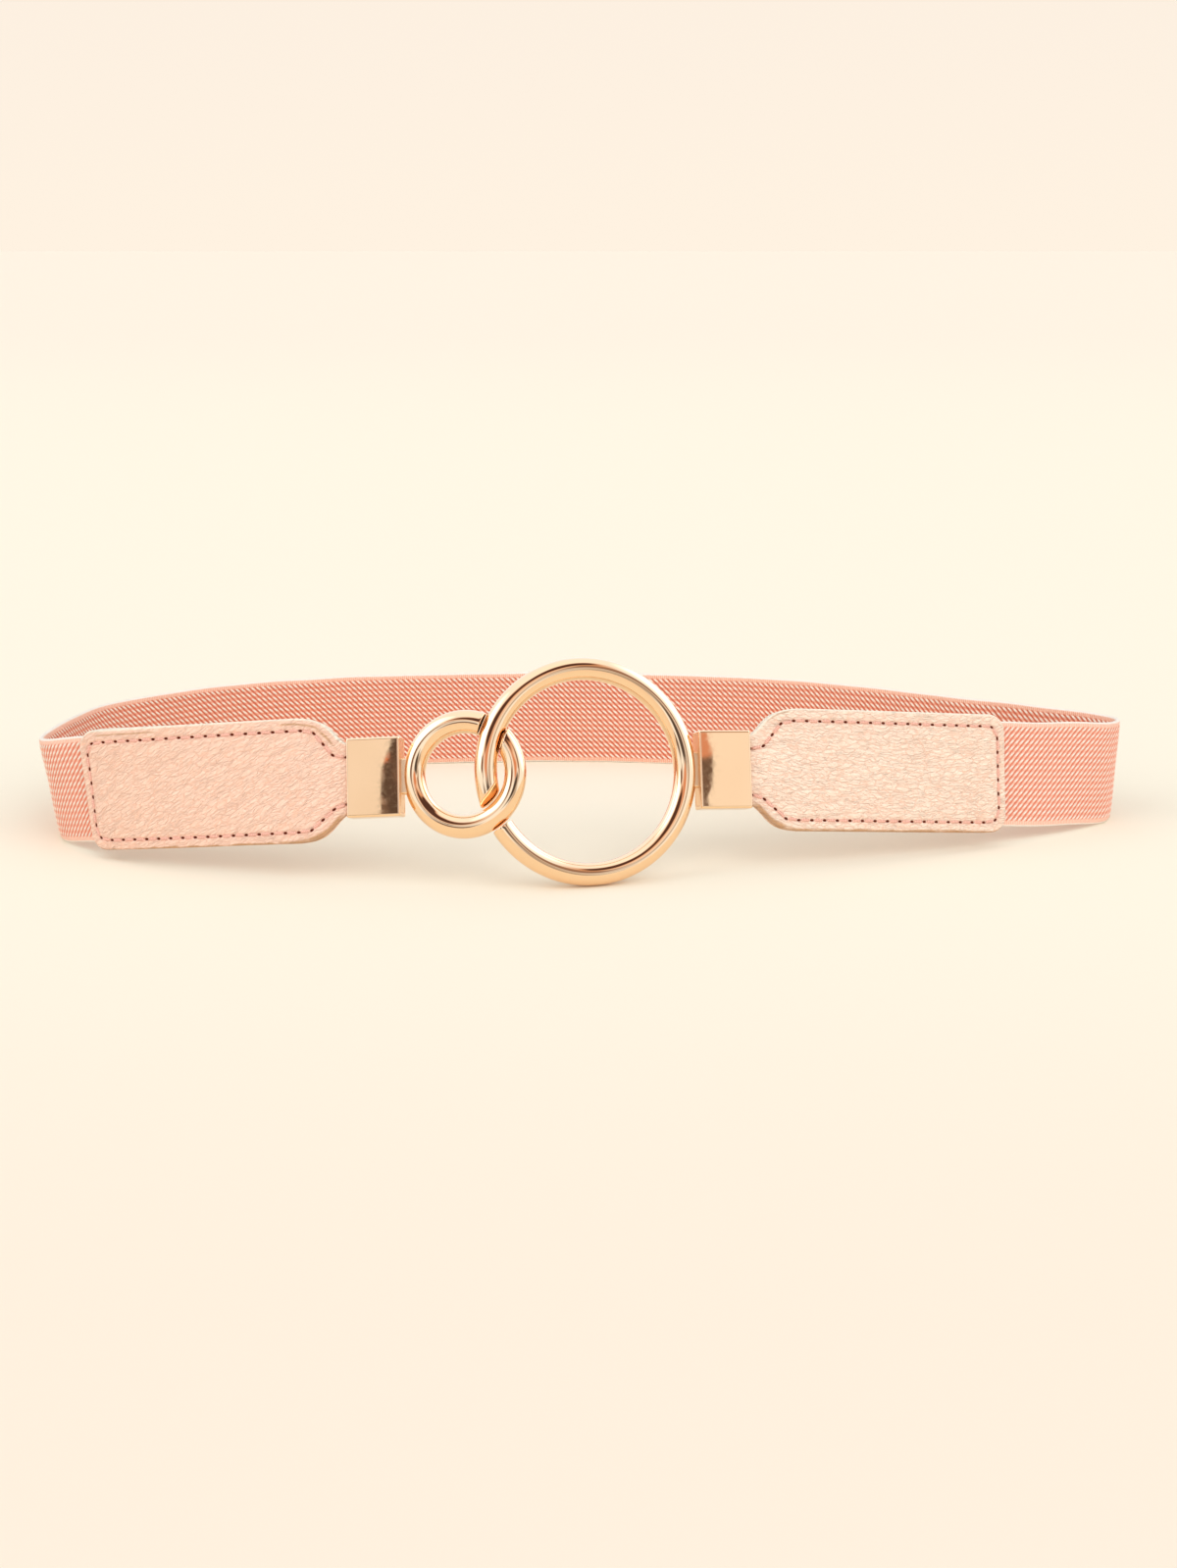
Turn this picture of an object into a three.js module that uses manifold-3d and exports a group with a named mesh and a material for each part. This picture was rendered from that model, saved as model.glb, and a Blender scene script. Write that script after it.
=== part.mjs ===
// An elastic stretch belt, standing on its lower edge as a closed loop.
// A strip of elastic webbing runs round the back. At each end two leather layers are sewn over it,
// and their neck sits in a metal sleeve. A ring with a tongue sits in the other end of each sleeve,
// and the small ring and the big ring are hooked through each other at the front.
// Millimetres and degrees, +Z up, the rings towards -Y.
import * as THREE from "three";
import { mergeVertices } from "three/addons/utils/BufferGeometryUtils.js";
import Module from "manifold-3d";

const wasm = await Module();
wasm.setup();

// Elastic webbing
const bandWidth = 25;
const bandThickness = 1.5;
const bandBevel = 0.25;
const bandSteps = 110;

// Leather tabs
const tabLength = 66.6;
const tabMargin = 1.5;
const leatherThickness = 1.1;
const tabCorner = 3.6;
const tabBevel = 0.45;
const shoulderLength = 8;
const shoulderCorner = 5;
const neckInsert = 5;
const bandStopsShort = 14;
const tabStep = 5;
const cornerSteps = 4;

// Metal sleeves
const sleeveLength = 12.2;
const sleeveHeight = 17.8;
const sleeveThickness = 5.2;
const sleeveWall = 0.8;
const sleeveCorner = 0.6;
const sleeveCornerSteps = 4;

// Rings and their tongues. A hole and a wire are given by their radii.
const bigHole = 20.5;
const bigWire = 2.53;
const smallHole = 9.05;
const smallWireAtSides = 2.42;
const smallWireAtTop = 2.64;
const lensGap = 1.75;
const ringToSleeve = 0.4;
const tongueInsert = 5;
const tongueSideGap = 1.2;
const bigRingSteps = 80;
const smallRingSteps = 52;
const wireSides = 14;

// Where the rings cross: the small ring is notched under the big one above, and the big ring is
// open below, where the small one passes through it.
const crossingGap = 0.4;
const lapDepth = 0.5;
const lowerFlare = 1.1;
const upperFlare = 1.1;
const upperUndercut = 0.2;

// Clearance between pieces that sit in or on each other
const clearance = 0.3;

// How the loop stands
const frontLean = 17.5;
const rightYaw = 15.2;
const leftYaw = -9.5;
const rightDroop = 2.9;
const leftDroop = 4.5;
const smallRingSag = 0.2;
const loopHalfWidth = 128.5;
const loopDepth = 122.4;

// The band's route from the right tab round the back to the left tab. Across and back are shares
// of loopHalfWidth and loopDepth from the big ring's centre, lift is a share of the height that
// the big ring gives the front, and lean is how far the upper edge tips inwards, in degrees.
const route = [
  { across: 0.783, back: 0.285, lift: 0.3, lean: 14 },
  { across: 0.921, back: 0.366, lift: 0.12, lean: 8 },
  { across: 0.998, back: 0.432, lift: 0, lean: 0 },
  { across: 1.015, back: 0.475, lift: 0, lean: -3.5 },
  { across: 0.987, back: 0.522, lift: 0, lean: -3 },
  { across: 0.895, back: 0.598, lift: 0, lean: -1.5 },
  { across: 0.75, back: 0.702, lift: 0, lean: 0 },
  { across: 0.605, back: 0.809, lift: 0, lean: 0 },
  { across: 0.39, back: 0.926, lift: 0, lean: 0 },
  { across: 0.17, back: 0.982, lift: 0, lean: 0 },
  { across: 0.003, back: 1, lift: 0, lean: 0 },
  { across: -0.243, back: 0.99, lift: 0, lean: 0 },
  { across: -0.439, back: 0.964, lift: 0, lean: 0 },
  { across: -0.564, back: 0.927, lift: 0, lean: -1 },
  { across: -0.73, back: 0.855, lift: 0, lean: -2 },
  { across: -0.88, back: 0.716, lift: 0, lean: -3.5 },
  { across: -0.95, back: 0.62, lift: 0, lean: -5 },
  { across: -0.988, back: 0.444, lift: 0, lean: -7 },
  { across: -0.992, back: 0.285, lift: 0, lean: -9 },
  { across: -0.885, back: 0.166, lift: 0.25, lean: 2 },
];

const leatherMaterial = new THREE.MeshStandardMaterial({ color: 0xf7cdb9, roughness: 0.55, metalness: 0 });
const elasticMaterial = new THREE.MeshStandardMaterial({ color: 0xe59a80, roughness: 0.85, metalness: 0 });
const goldMaterial = new THREE.MeshStandardMaterial({ color: 0xf0c48a, roughness: 0.15, metalness: 1 });

const radians = THREE.MathUtils.degToRad;

// A closed mesh as a solid that can be cut and joined
function solidOf(geometry) {
  const bare = geometry.clone();
  bare.deleteAttribute("normal");
  bare.deleteAttribute("uv");
  const merged = mergeVertices(bare, 1e-4);
  const vertProperties = new Float32Array(merged.attributes.position.array);
  const triVerts = new Uint32Array(merged.index.array);
  return new wasm.Manifold(new wasm.Mesh({ numProp: 3, vertProperties, triVerts }));
}

// A cut solid as a mesh again
function geometryOf(solid) {
  const mesh = solid.getMesh();
  const geometry = new THREE.BufferGeometry();
  geometry.setAttribute("position", new THREE.BufferAttribute(new Float32Array(mesh.vertProperties), 3));
  geometry.setIndex(new THREE.BufferAttribute(new Uint32Array(mesh.triVerts), 1));
  geometry.computeVertexNormals();
  return geometry;
}

function piece(name, geometry, material) {
  const mesh = new THREE.Mesh(geometry, material);
  mesh.name = name;
  return mesh;
}

// Axes at a point of the belt: along runs round it, up crosses it, out faces away from the wearer
function frameAt(point, direction, leanDegrees) {
  const along = direction.clone().normalize();
  const plumb = new THREE.Vector3(0, 0, 1).addScaledVector(along, -along.z).normalize();
  const inward = new THREE.Vector3().crossVectors(plumb, along);
  const lean = radians(leanDegrees);
  const up = plumb.multiplyScalar(Math.cos(lean)).addScaledVector(inward, Math.sin(lean));
  const out = new THREE.Vector3().crossVectors(along, up);
  return { point, along, up, out };
}

// The point of a frame that lies so far along, up and out of it
function pointIn(frame, along, up, out) {
  return frame.point
    .clone()
    .addScaledVector(frame.along, along)
    .addScaledVector(frame.up, up)
    .addScaledVector(frame.out, out);
}

function matrixOf(frame) {
  return new THREE.Matrix4().makeBasis(frame.along, frame.up, frame.out).setPosition(frame.point);
}

// A direction along the front of the belt, turned by yaw and dropping by droop
function frontDirection(yaw, droop) {
  const level = Math.cos(radians(droop));
  return new THREE.Vector3(
    level * Math.cos(radians(yaw)),
    level * Math.sin(radians(yaw)),
    -Math.sin(radians(droop)),
  );
}

// A closed solid skinned over rings of points, each ring convex and wound the same way
function skin(rings) {
  const sides = rings[0].length;
  const points = rings.flat();
  const triangles = [];
  for (let i = 0; i < rings.length - 1; i += 1) {
    for (let j = 0; j < sides; j += 1) {
      const a = i * sides + j;
      const b = i * sides + ((j + 1) % sides);
      triangles.push(a, b, a + sides, b, b + sides, a + sides);
    }
  }
  const last = (rings.length - 1) * sides;
  for (let j = 1; j < sides - 1; j += 1) {
    triangles.push(0, j + 1, j);
    triangles.push(last, last + j, last + j + 1);
  }
  return new THREE.BufferGeometry().setFromPoints(points).setIndex(triangles);
}

// A strip's section, wound for skin(): across the strip from -half to half, and from inner to outer
function section(frame, half, inner, outer, innerBevel, outerBevel) {
  const corners = [
    [-half + innerBevel, inner],
    [half - innerBevel, inner],
    [half, inner + innerBevel],
    [half, outer - outerBevel],
    [half - outerBevel, outer],
    [-half + outerBevel, outer],
    [-half, outer - outerBevel],
    [-half, inner + innerBevel],
  ];
  const used = innerBevel > 0 ? corners : corners.filter((_, i) => i !== 2 && i !== 7);
  return used.map(([up, out]) => pointIn(frame, 0, up, out));
}

// The two rigid halves of the buckle, each with its origin at its ring's centre
const bigRadius = bigHole + bigWire;
const bigReach = bigRadius + bigWire;
const smallRadius = smallHole + smallWireAtSides;
const smallReach = smallRadius + smallWireAtSides;
const rightDirection = frontDirection(rightYaw, rightDroop);
const leftDirection = frontDirection(leftYaw, -leftDroop);
const ringHeight = bigRadius * Math.cos(radians(frontLean)) + bigWire;
const rightHalf = frameAt(new THREE.Vector3(0, 0, ringHeight), rightDirection, frontLean);

// The halves fold about the line through the two crossings of the rings
const centreDistance = bigRadius + smallRadius - bigWire - smallWireAtSides - lensGap;
const smallToFold =
  (centreDistance ** 2 + smallRadius ** 2 - bigRadius ** 2) / (2 * centreDistance);
const foldPoint = pointIn(rightHalf, smallToFold - centreDistance, -smallRingSag, 0);
const leftHalf = frameAt(foldPoint, leftDirection, frontLean);
leftHalf.point = pointIn(leftHalf, -smallToFold, 0, 0);

const rightMouth = bigReach + ringToSleeve + sleeveLength;
const leftMouth = smallReach + ringToSleeve + sleeveLength;

// The route of the band and tabs, from inside the right sleeve round to inside the left one
const frontLift = ringHeight - (bandWidth / 2) * Math.cos(radians(frontLean));
const routePoints = [
  { point: pointIn(rightHalf, rightMouth - neckInsert, 0, 0), lean: frontLean },
  { point: pointIn(rightHalf, rightMouth, 0, 0), lean: frontLean },
  { point: pointIn(rightHalf, rightMouth + shoulderLength, 0, 0), lean: frontLean },
  ...route.map((row) => {
    const lean = radians(row.lean);
    const standing = (bandWidth / 2) * Math.cos(lean) + (bandThickness / 2) * Math.abs(Math.sin(lean));
    const height = standing + row.lift * frontLift;
    return {
      point: new THREE.Vector3(row.across * loopHalfWidth, row.back * loopDepth, height),
      lean: row.lean,
    };
  }),
  { point: pointIn(leftHalf, -leftMouth - shoulderLength, 0, 0), lean: frontLean },
  { point: pointIn(leftHalf, -leftMouth, 0, 0), lean: frontLean },
  { point: pointIn(leftHalf, -leftMouth + neckInsert, 0, 0), lean: frontLean },
];
const centreline = new THREE.CatmullRomCurve3(
  routePoints.map((row) => row.point),
  false,
  "centripetal",
);
centreline.arcLengthDivisions = 1200;
const leans = new THREE.CatmullRomCurve3(
  routePoints.map((row) => new THREE.Vector3(row.lean, 0, 0)),
  false,
  "catmullrom",
);
const routeLength = centreline.getLength();
const strapLength = routeLength - 2 * neckInsert;

// The belt's frame at a distance from the right sleeve's mouth, measured along the centreline
function strapFrame(distance) {
  const share = THREE.MathUtils.clamp((distance + neckInsert) / routeLength, 0, 1);
  const lean = leans.getPoint(centreline.getUtoTmapping(share)).x;
  return frameAt(centreline.getPointAt(share), centreline.getTangentAt(share), lean);
}

// Elastic: from under one tab to under the other
function elasticBand() {
  const start = bandStopsShort;
  const end = strapLength - bandStopsShort;
  const rings = [];
  for (let i = 0; i <= bandSteps; i += 1) {
    const frame = strapFrame(start + ((end - start) * i) / bandSteps);
    const face = bandThickness / 2;
    rings.push(section(frame, bandWidth / 2, -face, face, bandBevel, bandBevel));
  }
  return skin(rings);
}

// Leather: distances from the sleeve's mouth, negative inside the sleeve
const tabHalf = bandWidth / 2 + tabMargin;
const seam = clearance / 2;
const tabFace = bandThickness / 2 + clearance + leatherThickness;
const cavityHeight = sleeveHeight - 2 * sleeveWall;
const cavityThickness = sleeveThickness - 2 * sleeveWall;
const neckHalf = cavityHeight / 2 - clearance;
const neckFace = cavityThickness / 2 - clearance;

// Half height of the tab's outline at each station, from the neck's end to the outer end
function tabStations() {
  const drop = tabHalf - sleeveHeight / 2;
  const slope = Math.atan2(drop, shoulderLength);
  const tangent = shoulderCorner * Math.tan(slope / 2);
  const stations = [
    { distance: -neckInsert, half: neckHalf, face: neckFace },
    { distance: clearance / 3, half: neckHalf, face: neckFace },
    { distance: clearance, half: sleeveHeight / 2, face: neckFace },
  ];
  for (let i = 0; i <= cornerSteps; i += 1) {
    const turn = slope * (1 - i / cornerSteps);
    stations.push({
      distance: shoulderLength + tangent - shoulderCorner * Math.sin(turn),
      half: tabHalf - shoulderCorner * (1 - Math.cos(turn)),
      face: tabFace,
    });
  }
  const flatStart = shoulderLength + tangent;
  const flatEnd = tabLength - tabCorner;
  const flats = Math.max(1, Math.round((flatEnd - flatStart) / tabStep));
  for (let i = 1; i < flats; i += 1) {
    const distance = flatStart + ((flatEnd - flatStart) * i) / flats;
    stations.push({ distance, half: tabHalf, face: tabFace });
  }
  for (let i = 0; i <= cornerSteps; i += 1) {
    const turn = radians(90 * (i / cornerSteps));
    stations.push({
      distance: flatEnd + tabCorner * Math.sin(turn),
      half: tabHalf - tabCorner * (1 - Math.cos(turn)),
      face: tabFace,
    });
  }
  return stations;
}

// The frame at a tab's station. The left tab runs the other way along the strap.
function tabFrame(side, distance) {
  return strapFrame(side === "right" ? distance : strapLength - distance);
}

// The room that the elastic needs between the two layers
function pocket(side) {
  const start = bandStopsShort - clearance;
  const steps = Math.round((tabLength - start) / tabStep) + 1;
  const rings = [];
  for (let i = 0; i <= steps; i += 1) {
    const frame = tabFrame(side, start + (i * (tabLength + tabStep - start)) / steps);
    const face = bandThickness / 2 + clearance;
    rings.push(section(frame, bandWidth / 2 + clearance, -face, face, 0, 0).filter((_, j) => j !== 2 && j !== 5));
  }
  return solidOf(skin(side === "right" ? rings : rings.reverse()));
}

function tabLayer(side, layer) {
  const rings = tabStations().map(({ distance, half, face }) => {
    const frame = tabFrame(side, distance);
    if (layer === "front") {
      return section(frame, half, seam, face, 0, tabBevel);
    }
    return section({ ...frame, out: frame.out.clone().negate(), up: frame.up.clone().negate() }, half, seam, face, 0, tabBevel);
  });
  return geometryOf(solidOf(skin(side === "right" ? rings : rings.reverse())).subtract(pocket(side)));
}

// A rectangle with round corners, centred on the origin
function roundedRectangle(width, height, corner) {
  const x = width / 2;
  const y = height / 2;
  const shape = new THREE.Shape();
  shape.moveTo(-x + corner, -y);
  shape.lineTo(x - corner, -y);
  shape.absarc(x - corner, -y + corner, corner, -Math.PI / 2, 0);
  shape.lineTo(x, y - corner);
  shape.absarc(x - corner, y - corner, corner, 0, Math.PI / 2);
  shape.lineTo(-x + corner, y);
  shape.absarc(-x + corner, y - corner, corner, Math.PI / 2, Math.PI);
  shape.lineTo(-x, -y + corner);
  shape.absarc(-x + corner, -y + corner, corner, Math.PI, Math.PI * 1.5);
  return shape;
}

// A sleeve, lying along X from start to start + sleeveLength
function sleeve(start) {
  const shape = roundedRectangle(sleeveThickness, sleeveHeight, sleeveCorner);
  const bore = roundedRectangle(cavityThickness, cavityHeight, sleeveCorner / 2);
  shape.holes.push(bore);
  const geometry = new THREE.ExtrudeGeometry(shape, {
    depth: sleeveLength,
    bevelEnabled: false,
    curveSegments: sleeveCornerSteps,
  });
  return geometry.rotateY(Math.PI / 2).translate(start, 0, 0);
}

// The wire's radius at an angle round a ring, for a wire that is thicker above and below
function wireAt(wireAtSides, wireAtTop, angle) {
  return wireAtSides + (wireAtTop - wireAtSides) * Math.sin(angle) ** 2;
}

// A ring in the XY plane round a hole, made of a wire that is thicker above and below
function ring(hole, wireAtSides, wireAtTop, steps) {
  const geometry = new THREE.TorusGeometry(hole + wireAtSides, wireAtSides, wireSides, steps);
  const position = geometry.attributes.position;
  const point = new THREE.Vector3();
  for (let i = 0; i < position.count; i += 1) {
    point.fromBufferAttribute(position, i);
    const angle = Math.atan2(point.y, point.x);
    const edge = new THREE.Vector3(Math.cos(angle), Math.sin(angle), 0).multiplyScalar(hole);
    point.sub(edge).multiplyScalar(wireAt(wireAtSides, wireAtTop, angle) / wireAtSides).add(edge);
    position.setXYZ(i, point.x, point.y, point.z);
  }
  return solidOf(geometry);
}

// The flat tongue that joins a ring to its sleeve, on the side that sign gives
function tongue(radius, reach, sign) {
  const end = reach + ringToSleeve + tongueInsert;
  const length = end - radius;
  const height = cavityHeight - 2 * tongueSideGap;
  const thickness = cavityThickness - 2 * clearance;
  const block = new THREE.BoxGeometry(length, height, thickness);
  return solidOf(block.translate(sign * (radius + length / 2), 0, 0));
}

// A groove round a ring's axis, cut by a profile of distances from the axis and heights
function groove(profile, steps, matrix) {
  const closed = [...profile, profile[0]].map(([radius, height]) => new THREE.Vector2(radius, height));
  const geometry = new THREE.LatheGeometry(closed, steps).rotateX(Math.PI / 2);
  return solidOf(geometry.applyMatrix4(matrix));
}

// Keeps only the part of a cutter above or below the line through the rings' centres
function halfOf(cutter, sign) {
  const size = 4 * bigRadius;
  const block = new THREE.BoxGeometry(size, size, size).translate(0, (sign * size) / 2, 0);
  return cutter.intersect(solidOf(block));
}

const farOut = 3 * bigWire;
const rightToLeft = matrixOf(leftHalf).invert().multiply(matrixOf(rightHalf));
const leftToRight = rightToLeft.clone().invert();
const crossingWire = wireAt(smallWireAtSides, smallWireAtTop, Math.acos(smallToFold / smallRadius));
const bigInner = bigHole - crossingGap;
const bigOuter = bigHole + 2 * bigWire + crossingGap;
const smallInner = smallHole - crossingGap;
const smallOuter = smallHole + 2 * crossingWire + crossingGap;

// The small ring, with the notch in its front that the big ring lies in
function smallRing() {
  const floor = -lapDepth - crossingGap / 2;
  const rise = farOut - floor;
  const flare = (upperFlare * rise) / (bigWire - floor);
  const inner = bigInner - upperUndercut / 2;
  const notch = groove(
    [
      [inner, floor],
      [bigOuter, floor],
      [bigOuter + flare, farOut],
      [inner + upperUndercut * rise, farOut],
    ],
    bigRingSteps,
    rightToLeft,
  );
  return ring(smallHole, smallWireAtSides, smallWireAtTop, smallRingSteps)
    .add(tongue(smallRadius, smallReach, -1))
    .subtract(halfOf(notch, 1));
}

// The big ring, thinned from behind over the notch and open below, where the small ring passes
function bigRing() {
  const lap = groove(
    [
      [smallInner, -farOut],
      [smallOuter, -farOut],
      [smallOuter, farOut],
      [smallInner, farOut],
    ],
    smallRingSteps,
    leftToRight,
  );
  const size = 4 * bigRadius;
  const behind = new THREE.BoxGeometry(size, size, size);
  behind.translate(0, 0, -size / 2 - lapDepth + crossingGap / 2);
  const flare = (lowerFlare * farOut) / bigWire;
  const gap = groove(
    [
      [smallInner, -farOut],
      [smallOuter, -farOut],
      [smallOuter, farOut],
      [smallInner - flare, farOut],
      [smallInner, 0],
    ],
    smallRingSteps,
    leftToRight,
  );
  return ring(bigHole, bigWire, bigWire, bigRingSteps)
    .add(tongue(bigRadius, bigReach, 1))
    .subtract(halfOf(lap.intersect(solidOf(behind)), 1))
    .subtract(halfOf(gap, -1));
}

// A rigid half of the buckle as a group, placed by its frame
function buckleHalf(frame, ...pieces) {
  const half = new THREE.Group();
  half.applyMatrix4(matrixOf(frame));
  half.add(...pieces);
  return half;
}

const belt = new THREE.Group();
belt.add(
  buckleHalf(
    rightHalf,
    piece("big_ring", geometryOf(bigRing()), goldMaterial),
    piece("right_sleeve", sleeve(bigReach + ringToSleeve), goldMaterial),
  ),
  buckleHalf(
    leftHalf,
    piece("small_ring", geometryOf(smallRing()), goldMaterial),
    piece("left_sleeve", sleeve(-leftMouth), goldMaterial),
  ),
  piece("elastic_band", elasticBand(), elasticMaterial),
);
for (const side of ["left", "right"]) {
  for (const layer of ["front", "back"]) {
    belt.add(piece(`${side}_tab_${layer}`, tabLayer(side, layer), leatherMaterial));
  }
}

// The origin is the middle of the belt's base
const box = new THREE.Box3().setFromObject(belt, true);
const middle = box.getCenter(new THREE.Vector3());
belt.position.set(-middle.x, -middle.y, -box.min.z);

export default belt;
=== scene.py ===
# The elastic stretch belt as it looks: ribbed webbing, stitched leather tabs, sleeves and rings.
# Lengths are millimetres in the belt's own frame until a mesh is made, and metres after that.
import math

import bmesh
import bpy
import numpy as np
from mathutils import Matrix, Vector


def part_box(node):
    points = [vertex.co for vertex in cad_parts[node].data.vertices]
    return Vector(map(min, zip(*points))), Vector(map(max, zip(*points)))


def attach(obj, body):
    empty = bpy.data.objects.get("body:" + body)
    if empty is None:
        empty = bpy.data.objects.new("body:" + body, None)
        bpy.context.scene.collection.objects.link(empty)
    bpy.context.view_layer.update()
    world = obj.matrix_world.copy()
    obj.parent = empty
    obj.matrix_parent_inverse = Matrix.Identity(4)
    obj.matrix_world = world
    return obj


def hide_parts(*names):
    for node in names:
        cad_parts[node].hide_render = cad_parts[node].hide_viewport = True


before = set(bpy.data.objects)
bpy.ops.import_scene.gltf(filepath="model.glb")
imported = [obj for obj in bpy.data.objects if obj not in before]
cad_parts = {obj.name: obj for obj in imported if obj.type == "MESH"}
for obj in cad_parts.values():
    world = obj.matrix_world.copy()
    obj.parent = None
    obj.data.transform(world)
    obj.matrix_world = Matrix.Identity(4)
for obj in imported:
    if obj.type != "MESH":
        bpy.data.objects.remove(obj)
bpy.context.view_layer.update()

MM = 0.001
DEGREE = math.pi / 180

# Elastic webbing
BAND_WIDTH = 25.0
BAND_THICKNESS = 1.5
BAND_STOPS_SHORT = 14.0
RIB_PITCH = 1.455
RIB_SHEAR = 1.0
RIB_DEPTH = 0.3
RIB_SWELL = 0.08
EDGE_STRIP = 0.3
EDGE_HALF_THICKNESS = 0.34
SELVEDGE_YARN_PITCH = 0.52
COURSE_PITCH = 1.53
COLUMNS_PER_RIB = 3
SELVEDGE_WIDTH = 1.2
HIDDEN_END = 22.0

# Leather tabs
TAB_LENGTH = 66.6
TAB_MARGIN = 1.5
LEATHER_THICKNESS = 1.1
TAB_CORNER = 4.2
SHOULDER_LENGTH = 8.0
NECK_INSERT = 5.0
FRONT_CELL = 0.19
BACK_CELL = 0.3
EDGE_ROUND = 0.55

# Stitches
STITCH_PITCH = 3.3
STITCH_TOP_INSET = 2.9
STITCH_BOTTOM_INSET = 2.3
STITCH_END_INSET = 2.0
THREAD_RADIUS = 0.31
THREAD_TWIST_PITCH = 0.55
GROOVE_DEPTH = 0.26
GROOVE_REACH = 0.5
HOLE_DEPTH = 0.3
HOLE_REACH_WITH_STITCH = 0.5
HOLE_REACH_ACROSS = 0.3
PUFF_HEIGHT = 0.14

# Metal sleeves
SLEEVE_LENGTH = 12.2
SLEEVE_HEIGHT = 17.8
SLEEVE_THICKNESS = 5.2
SLEEVE_WALL = 0.8
SLEEVE_CORNER = 0.6
SLEEVE_OUTER_ROUND = 0.42
SLEEVE_BORE_ROUND = 0.14

# Rings and their tongues
BIG_HOLE = 20.5
BIG_WIRE = 2.53
SMALL_HOLE = 9.05
SMALL_WIRE_AT_SIDES = 2.42
SMALL_WIRE_AT_TOP = 2.64
LENS_GAP = 1.75
RING_TO_SLEEVE = 0.4
TONGUE_INSERT = 5.0
STEM_HEIGHT = 8.0
WIRE_SIDES = 56

# Where the rings cross
CROSSING_GAP = 0.4
LAP_DEPTH = 0.5
LOWER_FLARE = 1.1
UPPER_FLARE = 1.1
UPPER_UNDERCUT = 0.2
CUT_ROUND = 0.22

CLEARANCE = 0.3

# How the loop stands
FRONT_LEAN = 17.5
RIGHT_YAW = 15.2
LEFT_YAW = -9.5
RIGHT_DROOP = 2.9
LEFT_DROOP = 4.5
SMALL_RING_SAG = 0.2
LOOP_HALF_WIDTH = 128.5
LOOP_DEPTH = 122.4

# The band's route: across and back as shares of the loop, lift of the front's height, lean in degrees
ROUTE = [
    (0.783, 0.285, 0.3, 14),
    (0.921, 0.366, 0.12, 8),
    (0.998, 0.432, 0, 0),
    (1.015, 0.475, 0, -3.5),
    (0.987, 0.522, 0, -3),
    (0.895, 0.598, 0, -1.5),
    (0.75, 0.702, 0, 0),
    (0.605, 0.809, 0, 0),
    (0.39, 0.926, 0, 0),
    (0.17, 0.982, 0, 0),
    (0.003, 1, 0, 0),
    (-0.243, 0.99, 0, 0),
    (-0.439, 0.964, 0, 0),
    (-0.564, 0.927, 0, -1),
    (-0.73, 0.855, 0, -2),
    (-0.88, 0.716, 0, -3.5),
    (-0.95, 0.62, 0, -5),
    (-0.988, 0.444, 0, -7),
    (-0.992, 0.285, 0, -9),
    (-0.885, 0.166, 0.25, 2),
]

# The photograph's camera
CAMERA_PLACE = (0.111, -568.782, 139.116)
CAMERA_PITCH = 12.886
PHOTO_FOCAL = 2400.0
PHOTO_WIDTH, PHOTO_HEIGHT = 1200, 1599


# Vector helpers


def unit(vectors):
    return vectors / np.linalg.norm(vectors, axis=-1, keepdims=True)


def smooth_step(low, high, values):
    share = np.clip((values - low) / (high - low), 0, 1)
    return share * share * (3 - 2 * share)


def axes_at(points, directions, lean_degrees):
    """Along runs round the belt, up crosses it and out faces away from the wearer."""
    along = unit(np.asarray(directions, float))
    plumb = np.array([0.0, 0.0, 1.0]) - along[..., 2:3] * along
    plumb = unit(plumb)
    inward = np.cross(plumb, along)
    lean = np.asarray(lean_degrees, float)[..., None] * DEGREE
    up = plumb * np.cos(lean) + inward * np.sin(lean)
    return {"point": np.asarray(points, float), "along": along, "up": up, "out": np.cross(along, up)}


def point_in(axes, along, up, out):
    along, up, out = (np.asarray(value, float)[..., None] for value in (along, up, out))
    return axes["point"] + axes["along"] * along + axes["up"] * up + axes["out"] * out


def local_in(axes, points):
    away = points - axes["point"]
    return np.stack([away @ axes["along"], away @ axes["up"], away @ axes["out"]], axis=-1)


def front_direction(yaw, droop):
    level = math.cos(droop * DEGREE)
    return np.array([
        level * math.cos(yaw * DEGREE),
        level * math.sin(yaw * DEGREE),
        -math.sin(droop * DEGREE),
    ])


def waves(x, y, count, longest, shortest, seed):
    """A smooth uneven field of about unit height, the sum of waves in every direction."""
    random = np.random.default_rng(seed)
    total = np.zeros(np.broadcast(x, y).shape)
    for _ in range(count):
        length = shortest * (longest / shortest) ** random.random()
        angle = random.random() * 2 * math.pi
        phase = random.random() * 2 * math.pi
        turn = 2 * math.pi / length
        total += np.sin(turn * (x * math.cos(angle) + y * math.sin(angle)) + phase)
    return total / math.sqrt(count / 2)


# The two rigid halves of the buckle, each with its origin at its ring's centre

BIG_RADIUS = BIG_HOLE + BIG_WIRE
BIG_REACH = BIG_RADIUS + BIG_WIRE
SMALL_RADIUS = SMALL_HOLE + SMALL_WIRE_AT_SIDES
SMALL_REACH = SMALL_RADIUS + SMALL_WIRE_AT_SIDES
RING_HEIGHT = BIG_RADIUS * math.cos(FRONT_LEAN * DEGREE) + BIG_WIRE
RIGHT_MOUTH = BIG_REACH + RING_TO_SLEEVE + SLEEVE_LENGTH
LEFT_MOUTH = SMALL_REACH + RING_TO_SLEEVE + SLEEVE_LENGTH


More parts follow.
